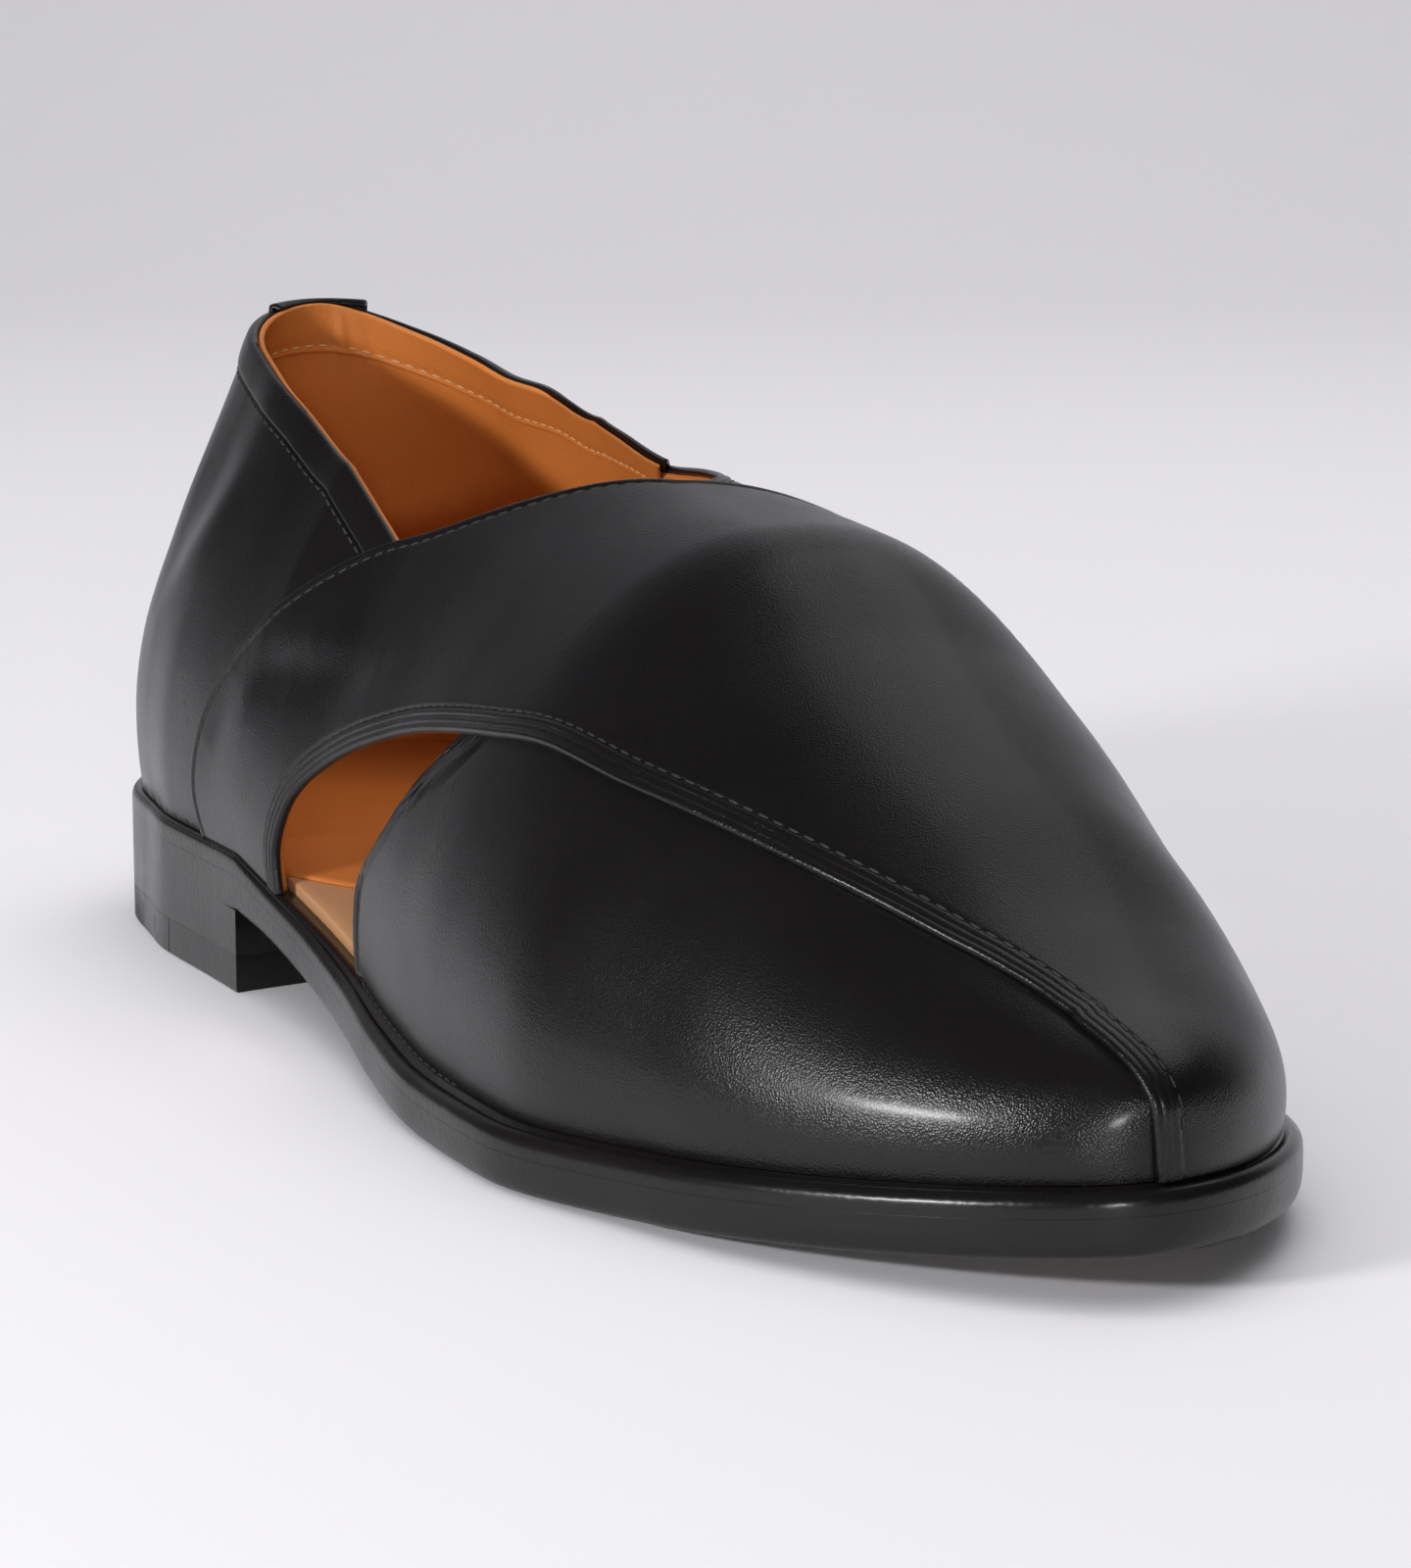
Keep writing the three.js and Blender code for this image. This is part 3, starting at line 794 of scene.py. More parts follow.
def leather(finish: LeatherFinish) -> Shader:
    """Builds a leather: a fine cell grain over slow waves, clouded colour and gloss.

    Args:
        finish: Its colours and sizes.

    Returns:
        The shader, so that marks can be added to it.
    """
    shader = Shader(finish.name)
    cloud = shader.noise(finish.cloud_scale, 4.0, 0.55)
    shader.link(shader.mix(shader.spread(cloud, 0.0, 1.0), finish.color, finish.shade), shader.bsdf.inputs["Base Color"])
    gloss = shader.noise(finish.cloud_scale * 2.3, 5.0, 0.6)
    low, high = finish.roughness - finish.roughness_spread, finish.roughness + finish.roughness_spread
    shader.link(shader.spread(gloss, low, high), shader.bsdf.inputs["Roughness"])
    shader.bsdf.inputs["Coat Weight"].default_value = finish.coat
    shader.bsdf.inputs["Coat Roughness"].default_value = finish.coat_roughness
    shader.bsdf.inputs["Specular IOR Level"].default_value = finish.shine
    normal = None
    if finish.wave_depth > 0:
        normal = shader.bump(shader.noise(finish.wave_scale, 2.0, 0.45), finish.wave_depth)
    cells = shader.node("TexVoronoi", feature="SMOOTH_F1", Scale=finish.grain_scale, Smoothness=0.35)
    shader.link(shader.coords, cells.inputs["Vector"])
    normal = shader.bump(cells.outputs["Distance"], finish.grain_depth, 1.0, normal)
    shader.link(normal, shader.bsdf.inputs["Normal"])
    return shader


CALF = LeatherFinish("black_calf", (0.0042, 0.0036, 0.0042), (0.0066, 0.0056, 0.0062), 0.31, 0.05, 0.15, 0.17, 3400.0, 0.00005, 26.0, 0.0005)
EDGE = LeatherFinish("burnished_edge", (0.0045, 0.0040, 0.0044), (0.0075, 0.0064, 0.0062), 0.30, 0.05, 0.12, 0.16, 900.0, 0.00003, 45.0, 0.0003)
LINING = LeatherFinish("tan_lining", (0.60, 0.195, 0.040), (0.50, 0.155, 0.030), 0.5, 0.05, 0.0, 0.4, 1300.0, 0.00004, 30.0, 0.0004)
INSOLE = LeatherFinish("natural_insole", (0.50, 0.27, 0.135), (0.44, 0.225, 0.105), 0.6, 0.05, 0.0, 0.4, 1100.0, 0.00004)
THREAD = LeatherFinish("black_thread", (0.024, 0.023, 0.024), (0.034, 0.032, 0.032), 0.5, 0.05, 0.0, 0.4, 4000.0, 0.00003)
TAN_THREAD = LeatherFinish("tan_thread", (0.62, 0.36, 0.17), (0.55, 0.30, 0.13), 0.6, 0.05, 0.0, 0.4, 4000.0, 0.00003)


def sole_bottom(name: str, black_to: float, bare_from: float, bare: tuple, worn: tuple, roughness: float) -> Shader:
    """Builds a sole's finish: the burnished black of its side, which fades to the bare stuff of its underside.

    Args:
        name: The material's name.
        black_to: Distance from the edge, in millimetres, up to which it is black.
        bare_from: Distance from which it is bare.
        bare: Colour of the bare stuff.
        worn: Its darker fibres.
        roughness: Roughness of the bare stuff.

    Returns:
        The shader. It reads the vertex attribute "edge", the distance from the outline in millimetres.
    """
    shader = leather(replace(EDGE, name=name))
    black = shader.bsdf.inputs["Base Color"].links[0].from_socket
    gloss = shader.bsdf.inputs["Roughness"].links[0].from_socket
    edge = shader.node("Attribute", attribute_name="edge").outputs["Fac"]
    fibre = shader.noise(220.0, 5.0, 0.7)
    wander = shader.node("Math", operation="MULTIPLY_ADD")
    shader.link(shader.noise(40.0, 4.0, 0.6), wander.inputs[0])
    wander.inputs[1].default_value = 12.0
    shader.link(edge, wander.inputs[2])
    fade = shader.spread(wander.outputs["Value"], 1.0, 0.0, black_to + 6.0, bare_from + 6.0)
    natural = shader.mix(shader.spread(fibre, 0.0, 1.0), bare, worn)
    shader.link(shader.mix(fade, natural, black), shader.bsdf.inputs["Base Color"])
    inner = shader.node("Mix", data_type="FLOAT")
    shader.link(fade, inner.inputs["Factor"])
    inner.inputs["A"].default_value = roughness
    shader.link(gloss, inner.inputs["B"])
    shader.link(inner.outputs["Result"], shader.bsdf.inputs["Roughness"])
    return shader


@dataclass
class Panel:
    """A strap-and-vamp panel. The top one starts at the lateral side, the under one is its mirror image."""

    name: str
    under: bool
    depth: float
    thickness: float
    front: EdgeRelief
    rear: EdgeRelief
    creases: tuple[Crease, ...] = ()
    front_fade: tuple[float, float, float] = (0.35, 0.60, 0.55)
    inset: tuple[float, float] = (0.0, 0.0)
    rows: int = 310
    grid: dict = field(default_factory=dict)

    def place(self, along: np.ndarray, across: np.ndarray) -> tuple[np.ndarray, np.ndarray]:
        """Angle and turn of places on the panel.

        Args:
            along: 0 at the strap's foot to 1 at the toe.
            across: 0 at the rear and upper edge to 1 at the lower and front edge.

        Returns:
            The angle and the turn.
        """
        rear, front = station_angle(PANEL.column(0, along)), station_angle(PANEL.column(2, along))
        wrap = 0.06 * smoothstep(along, 0.9, 1) if self.under else 0.0
        lift = UNDER_LIFT.column(0, along) if self.under else 0.0
        low, high = PANEL.column(1, along) + lift, PANEL.column(3, along)
        side = -1.0 if self.under else 1.0
        angle, turn = rear + (front - rear) * across + wrap, side * (low + (high - low) * across)
        if self.under:
            return angle, turn
        foot, middle, edge, middle_turn, edge_turn = (TIP.column(k, along) for k in range(5))
        first, second = across / TIP_MIDDLE, (across - TIP_MIDDLE) / (1 - TIP_MIDDLE)
        over = across > TIP_MIDDLE
        start = np.abs(middle)
        before_tip = np.where(over, start + (edge - start) * second, foot + (middle - foot) * first)
        tip_turn = np.where(over, -middle_turn - (edge_turn - middle_turn) * second, 1 + (middle_turn - 1) * first)
        at_tip = along > TIP_ROWS[0][0]
        return np.where(at_tip, math.pi - before_tip, angle), np.where(at_tip, tip_turn, turn)

    def edge_points(self, which: str) -> np.ndarray:
        """Fine points along one free edge.

        Args:
            which: "front" for the lower and front edge with the toe's end, "rear" for the upper edge.

        Returns:
            The points.
        """
        share = np.linspace(0, 1, 900)
        if which == "rear":
            return face(*self.place(share * PANEL_FOOT_ROW / (len(PANEL_ROWS) - 1), np.zeros(900)))
        end = face(*self.place(np.ones(120), np.linspace(1, 0, 120)))
        return np.vstack([face(*self.place(share, np.ones(900))), end])

    def sample(self) -> dict:
        """Lays a grid over the panel, closer at its edges and at the toe, with its distances from the free edges.

        Returns:
            The angles, turns, points and distances of the grid.
        """
        if self.grid:
            return self.grid
        along = np.concatenate([np.linspace(0, 0.94, self.rows), np.linspace(0.94, 1, 60)[1:]])
        fine = np.linspace(0, 1, 240)
        points = face(*self.place(along[:, None], fine[None, :]))
        run = np.concatenate([np.zeros((len(along), 1)), np.cumsum(np.linalg.norm(np.diff(points, axis=1), axis=-1), 1)], 1)
        border = np.concatenate([[0, 0.06, 0.14, 0.24, 0.36], np.arange(0.5, 4.9, 0.16), [5.2, 5.9, 7.0]])
        length = run[:, -1:]
        scale = np.minimum(1, length / 18)
        middle = np.linspace(0, 1, 36)[1:-1]
        inset = self.inset_at(along)[:, None]
        start = inset * scale + border * scale
        stop = length - start[:, ::-1]
        targets = np.concatenate([start, start[:, -1:] + (stop[:, :1] - start[:, -1:]) * middle, stop], axis=1)
        across = np.stack([np.interp(t, r, fine) for t, r in zip(targets, run)])
        angle, turn = self.place(along[:, None], across)
        base = face(angle, turn)
        self.grid = {
            "angle": angle,
            "turn": turn,
            "points": base,
            "front": distance_to(base, self.edge_points("front")),
            "rear": distance_to(base, self.edge_points("rear")),
            "inset": inset,
            "fade": 1 + (self.front_fade[2] - 1) * smoothstep(along, *self.front_fade[:2])[:, None],
        }
        return self.grid

    def inset_at(self, along: np.ndarray) -> np.ndarray:
        """How far the piece stands in from the panel's free edges: less on the strap than on the vamp."""
        return self.inset[0] + (self.inset[1] - self.inset[0]) * smoothstep(along, 0.3, 0.4)

    def relief(self) -> np.ndarray:
        """Depth of the outer face below the plain one: both edges' profiles and the creases."""
        grid = self.sample()
        depth = self.front.depth_at(grid["front"]) * grid["fade"] + self.rear.depth_at(grid["rear"])
        for crease in self.creases:
            depth = depth + crease.depth_at(grid["points"])
        return depth

    def build(self, material: bpy.types.Material) -> bpy.types.Object:
        """Builds the panel as a closed shell with rounded edges.

        Args:
            material: Its material.

        Returns:
            The object.
        """
        grid = self.sample()
        normal = face_normal(grid["angle"], grid["turn"])
        nearest = np.minimum(grid["front"], grid["rear"]) - grid["inset"]
        half = self.thickness / 2
        near = np.clip(half - nearest, 0, half)
        curl = half - np.sqrt(np.maximum(half**2 - near**2, 0))
        outer = grid["points"] - normal * (self.depth + self.relief())[..., None]
        inner = grid["points"] - normal * (self.depth + self.thickness - curl)[..., None]
        rows, columns = grid["angle"].shape
        return build_object(self.name, np.concatenate([outer.reshape(-1, 3), inner.reshape(-1, 3)]), shell_quads(rows, columns), material)

    def line(self, which: str, distance: float, start: float = 0.0, stop: float = 1.0) -> tuple[np.ndarray, np.ndarray]:
        """A line on the outer face at a distance from a free edge, for stitches.

        Args:
            which: "front" or "rear".
            distance: Distance from that edge.
            start: Share along the panel where it starts.
            stop: Share where it ends.

        Returns:
            Points on the outer face and the normals there.
        """
        grid = self.sample()
        rows, columns = grid["angle"].shape
        field_, half = grid[which], columns // 2
        lifted = grid["points"] - face_normal(grid["angle"], grid["turn"]) * (self.depth + self.relief())[..., None]
        normal = face_normal(grid["angle"], grid["turn"])
        order = slice(None, half) if which == "rear" else slice(None, half - 1, -1)
        found = [
            [np.interp(distance, field_[i, order], source[i, order, k]) for source in (lifted, normal) for k in range(3)]
            for i in range(int(start * rows), int(stop * (rows - 1)) + 1)
        ]
        table = np.array(found)
        return table[:, :3], unit(table[:, 3:])


def distance_to(points: np.ndarray, line: np.ndarray) -> np.ndarray:
    """Distance of points from a polyline's points.

    Args:
        points: An array of points.
        line: The polyline's points, close together.

    Returns:
        The distances.
    """
    flat = points.reshape(-1, 3)
    found = np.empty(len(flat))
    for start in range(0, len(flat), 4000):
        chunk = flat[start : start + 4000]
        gaps = (line**2).sum(1)[None] - 2 * chunk @ line.T
        k = np.clip(np.argmin(gaps, axis=1), 1, len(line) - 2)
        best = np.linalg.norm(chunk - line[k], axis=1)
        for a, b in ((k - 1, k), (k, k + 1)):
            run = line[b] - line[a]
            share = np.clip(np.einsum("ij,ij->i", chunk - line[a], run) / np.maximum(np.einsum("ij,ij->i", run, run), 1e-12), 0, 1)
            best = np.minimum(best, np.linalg.norm(chunk - line[a] - share[:, None] * run, axis=1))
        found[start : start + 4000] = best
    return found.reshape(points.shape[:-1])


@dataclass
class Stitches:
    """Rows of raised stitches, gathered into one piece."""

    name: str
    length: float
    pitch: float
    width: float
    points: list = field(default_factory=list)
    quads: list = field(default_factory=list)
    count: int = 0

    def add(self, line: np.ndarray, normal: np.ndarray) -> None:
        """Lays stitches along a line: each is a small capsule, half sunk into the leather.

        Args:
            line: Points of the line.
            normal: Outward normals there.
        """
        run = np.concatenate([[0], np.cumsum(np.linalg.norm(np.diff(line, axis=0), axis=1))])
        centres = np.arange(self.pitch, run[-1] - self.pitch, self.pitch)
        at = np.stack([np.interp(centres, run, line[:, k]) for k in range(3)], -1)
        before = np.stack([np.interp(centres - 0.5, run, line[:, k]) for k in range(3)], -1)
        after = np.stack([np.interp(centres + 0.5, run, line[:, k]) for k in range(3)], -1)
        up = unit(np.stack([np.interp(centres, run, normal[:, k]) for k in range(3)], -1))
        along = unit(after - before)
        side = unit(np.cross(up, along))
        rings, around = 7, 8
        share = np.linspace(-1, 1, rings)
        radius = np.sqrt(np.maximum(1 - np.abs(share) ** 3.5, 0.02))
        theta = np.linspace(0, 2 * math.pi, around, endpoint=False)
        body = (
            along[:, None, None] * (share * self.length / 2)[None, :, None, None]
            + side[:, None, None] * (radius[:, None] * np.cos(theta) * self.width / 2)[None, ..., None]
            + up[:, None, None] * (radius[:, None] * np.sin(theta) * self.width * 0.4 + 0.03)[None, ..., None]
        )
        points = (at[:, None, None] + body).reshape(len(at), -1, 3)
        quads = np.concatenate([grid_quads(rings, around, wrap=True), self.caps(rings, around)])
        per = rings * around
        shifts = (self.count + np.arange(len(at)) * per)[:, None, None]
        self.points.append(points.reshape(-1, 3))
        self.quads.append((quads[None] + shifts).reshape(-1, 4))
        self.count += len(at) * per

    @staticmethod
    def caps(rings: int, around: int) -> np.ndarray:
        """Quads that close both ends of a ring stack of eight points each.

        Args:
            rings: Rings in the stack.
            around: Points in a ring.

        Returns:
            The quads.
        """
        low = np.array([[3, 2, 1, 0], [5, 4, 3, 0], [7, 6, 5, 0]])
        high = low[:, ::-1] + (rings - 1) * around
        return np.concatenate([low, high])

    def build(self, material: bpy.types.Material) -> bpy.types.Object:
        """Makes the piece.

        Args:
            material: Its material.

        Returns:
            The object.
        """
        return build_object(self.name, np.concatenate(self.points), np.concatenate(self.quads), material)


@dataclass
class Quarter:
    """The quarter: counter and sides up to the topline, with its lining, binding and back strip."""

    outer_depth: float = 1.1
    tuck: float = 0.7
    leather: float = 1.0
    inner_depth: float = 3.0
    foot_station: float = 0.295
    top_station: float = 0.400
    binding_width: float = 5.7
    creases: tuple[Crease, ...] = ()
    puckers: tuple[Crease, ...] = ()

    def place(self, along: np.ndarray, across: np.ndarray) -> tuple[np.ndarray, np.ndarray]:
        """Angle and turn of places on the quarter.

        Args:
            along: 0 at the lateral front edge, 0.5 at the back, 1 at the medial front edge.
            across: 0 at the feather line to 1 at the topline.

        Returns:
            The angle, negative on the medial side, and the turn.
        """
        sweep = 1 - 2 * along
        front = self.foot_station + (self.top_station - self.foot_station) * across
        angle = sweep * station_angle(front)
        top = (1 - np.cos(np.abs(sweep) * station_angle(self.top_station))) / 2
        edge = np.where(sweep > 0, TOPLINE.column(0, top), TOPLINE.column(1, top))
        return angle, -1 + (1 - edge) * across

    def drop(self, angle: np.ndarray) -> np.ndarray:
        """Depth of the outer face: it sinks below the under panel on the medial side."""
        station = (1 - np.cos(angle)) / 2
        return self.outer_depth + np.where(angle > 0, 0.0, self.tuck * smoothstep(station, 0.19, 0.24))

    def grid(self, below: np.ndarray, rows: int = 360) -> tuple[np.ndarray, np.ndarray, np.ndarray]:
        """A grid that hangs from the topline.

        Args:
            below: Distances under the topline, rising. A value past the feather line stops there.
            rows: Points along the quarter.

        Returns:
            The angles, the turns and the distances under the topline.
        """
        along = np.linspace(0, 1, rows)
        fine = np.linspace(1, 0, 200)
        points = face(*self.place(along[:, None], fine[None, :]))
        run = np.concatenate([np.zeros((rows, 1)), np.cumsum(np.linalg.norm(np.diff(points, axis=1), axis=-1), 1)], 1)
        targets = np.minimum(np.asarray(below)[None, :], run[:, -1:])
        across = np.stack([np.interp(t, r, fine) for t, r in zip(targets, run)])
        angle, turn = self.place(along[:, None], across)
        return angle, turn, targets

    def shell(self, name: str, below: np.ndarray, outer: np.ndarray, inner: np.ndarray, material: bpy.types.Material) -> bpy.types.Object:
        """Builds a shell that hangs from the topline.

        Args:
            name: Its name.
            below: Distances under the topline.
            outer: Depth of its outer face at each distance.
            inner: Depth of its inner face at each distance.
            material: Its material.

        Returns:
            The object.
        """
        angle, turn, _ = self.grid(below)
        normal, base = face_normal(angle, turn), face(angle, turn)
        sink = self.drop(angle) - self.outer_depth
        dent = sum((c.depth_at(base) for c in self.creases), np.zeros(angle.shape))
        top = base - normal * (outer[None, :] + sink + dent)[..., None]
        pucker = sum((c.depth_at(base) for c in self.puckers), np.zeros(angle.shape))
        low = base - normal * (inner[None, :] + pucker)[..., None]
        rows, columns = angle.shape
        return build_object(name, np.concatenate([top.reshape(-1, 3), low.reshape(-1, 3)]), shell_quads(rows, columns), material)

    def full_length(self, near: np.ndarray) -> np.ndarray:
        """Distances under the topline from a close set to the foot of the quarter."""
        return np.concatenate([near, np.linspace(near[-1], 112, 62)[1:]])

    def build_leather(self, material: bpy.types.Material) -> bpy.types.Object:
        """Builds the outer leather, with a rounded top edge and a seam groove under the binding band."""
        near = np.concatenate([np.array([0, 0.08, 0.2, 0.35, 0.55, 0.8, 1.1, 1.6, 2.4, 3.4, 4.4]), self.binding_width + np.linspace(-0.8, 0.9, 12)])
        below = self.full_length(near)
        dome = np.sqrt(np.maximum(1 - (2 * below / self.binding_width - 1) ** 2, 0))
        swell = 0.25 * (1 - smoothstep(below, self.binding_width - 0.3, self.binding_width + 0.1)) + 0.45 * dome
        seam = 0.3 * np.exp(-(((below - self.binding_width - 0.15) / 0.22) ** 2))
        fold = 0.3 * (1 - smoothstep(below, 2.0, 4.0))
        half = (self.leather + fold + swell) / 2
        curl = half - np.sqrt(np.maximum(half**2 - np.clip(half - below, 0, half) ** 2, 0))
        outer = self.outer_depth - swell + seam + curl
        inner = self.outer_depth + self.leather + fold - curl
        return self.shell("quarter_leather", below, outer, inner, material)

    def build_lining(self, material: bpy.types.Material) -> bpy.types.Object:
        """Builds the lining, with its collar band and the band's lower edge."""
        near = np.concatenate([np.array([0, 0.08, 0.2, 0.35, 0.6, 0.9, 1.4, 2.2, 3.4, 4.8, 6.2]), 8.0 + np.linspace(-1.0, 1.2, 14)])
        below = self.full_length(near)
        half = 0.4
        curl = half - np.sqrt(np.maximum(half**2 - np.clip(half - below, 0, half) ** 2, 0))
        band = 0.4 * (1 - smoothstep(below, 7.9, 8.25)) - 0.2 * np.exp(-(((below - 7.0) / 0.35) ** 2))
        outer = self.outer_depth + self.leather + 0.3 * (1 - smoothstep(below, 2.0, 4.0)) + curl * 0.5
        inner = self.inner_depth + band - curl
        return self.shell("quarter_lining", below, outer, inner, material)

    def line(self, distance: float, depth: float, flip: bool = False) -> tuple[np.ndarray, np.ndarray]:
        """A line under the topline, for stitches.

        Args:
            distance: Distance under the topline.
            depth: Depth of the face that carries it.
            flip: Whether it is on the inner face.

        Returns:
            Points and the normals that point away from the leather.
        """
        angle, turn, _ = self.grid(np.array([distance, distance + 0.1]))
        normal = face_normal(angle, turn)[:, 0]
        points = face(angle, turn)[:, 0] - normal * depth
        return points, -normal if flip else normal

    def build_back_strip(self, material: bpy.types.Material, stitches: Stitches) -> bpy.types.Object:
        """Builds the strip over the back seam, which folds over the topline, and lays its stitches."""
        heel_half = OUTLINE.column(0, np.array(0.0)) * BALL_WIDTH - HEEL_SHELF
        reach = float(station_angle(HEEL_ROUND * (1 - math.sqrt(1 - (BACK_STRIP_WIDTH / (2 * heel_half)) ** 2)) / (LAST_END - LAST_START)))
        edge = np.array([0, 0.01, 0.025, 0.045, 0.07, 0.1])
        u = np.concatenate([edge, np.linspace(0.13, 0.87, 21), 1 - edge[::-1]])
        v = np.linspace(0, 1, 110)
        top = float(TOPLINE.column(0, np.array(0.0)))
        turn = (-1 + (1 - top) * v)[None, :] + np.zeros((len(u), 1))
        reaches = reach / np.sin(np.abs(turn[0]) * math.pi / 2) ** (2 / SECTION_ROWS[0][3])
        angle = (2 * u - 1)[:, None] * reaches[None]
        normal, base = face_normal(angle, turn), face(angle, turn)
        side = np.minimum(u, 1 - u)[:, None] * BACK_STRIP_WIDTH
        near = np.clip(0.5 - side, 0, 0.5)
        curl = 0.5 - np.sqrt(0.25 - near**2)
        outer = base - normal * (self.outer_depth - 0.75 + curl)[..., None]
        inner = base - normal * (self.outer_depth + 0.3 + 0 * curl)[..., None]
        up = unit(base[:, -1] - base[:, -2])[:, None]
        swing = np.linspace(0, math.pi, 14)[None, 1:, None]
        middle = base[:, -1:] - normal[:, -1:] * (self.outer_depth + 0.55)
        reach_out = (1.3 - curl[:, -1:])[..., None]
        fold = middle + normal[:, -1:] * np.cos(swing) * reach_out + up * np.sin(swing) * (reach_out - 0.6)
        below_fold = middle + normal[:, -1:] * np.cos(swing) * 0.25 + up * (np.sin(swing) * 0.25 - 0.3)
        outer, inner = np.concatenate([outer, fold], 1), np.concatenate([inner, below_fold], 1)
        for share in (1.9 / BACK_STRIP_WIDTH, 1 - 1.9 / BACK_STRIP_WIDTH):
            lane = (2 * share - 1) * reaches
            n = face_normal(lane, turn[0])
            stitches.add(face(lane, turn[0])[:100] - n[:100] * (self.outer_depth - 0.75), n[:100])
        return build_object("back_strip", np.concatenate([outer.reshape(-1, 3), inner.reshape(-1, 3)]), shell_quads(*outer.shape[:2]), material)


@dataclass(frozen=True)
class SoleProfile:
    """Profile of a sole layer's side: inset from the outline over its height share."""

    levels: tuple[tuple[float, float], ...]

    def points(self, count: int) -> tuple[np.ndarray, np.ndarray]:
        """Reads the profile finely.

        Args:
            count: Points wanted.

        Returns:
            The height shares and the insets.
        """
        data = SmoothTable(self.levels)
        rise = (1 - np.cos(np.linspace(0, math.pi, count))) / 2
        return rise, data.column(0, rise)


def outline_points(inset: np.ndarray, count: int = 260) -> tuple[np.ndarray, np.ndarray]:
    """The sole's outline moved inwards, closed, along the lateral side to the toe and back.

    Args:
        inset: Inset at each point, or one for all.
        count: Points on each side.

    Returns:
        The x and y of the loop, and it has twice count points.
    """
    t = np.linspace(0, 2 * math.pi, 2 * count, endpoint=False)
    x = SOLE_LENGTH * (1 - np.cos(t)) / 2
    medial = t > math.pi
    side = np.where(medial, 1.0, -1.0)
    y = side * sole_half(x, medial)
    ahead_x, ahead_y = np.roll(x, -1), np.roll(y, -1)
    behind_x, behind_y = np.roll(x, 1), np.roll(y, 1)
    run = unit(np.stack([ahead_x - behind_x, ahead_y - behind_y], -1))
    moved_x = x - run[:, 1] * inset
    moved_y = y + run[:, 0] * inset
    return moved_x, moved_y + axis_at(np.clip(moved_x, 0, SOLE_LENGTH))


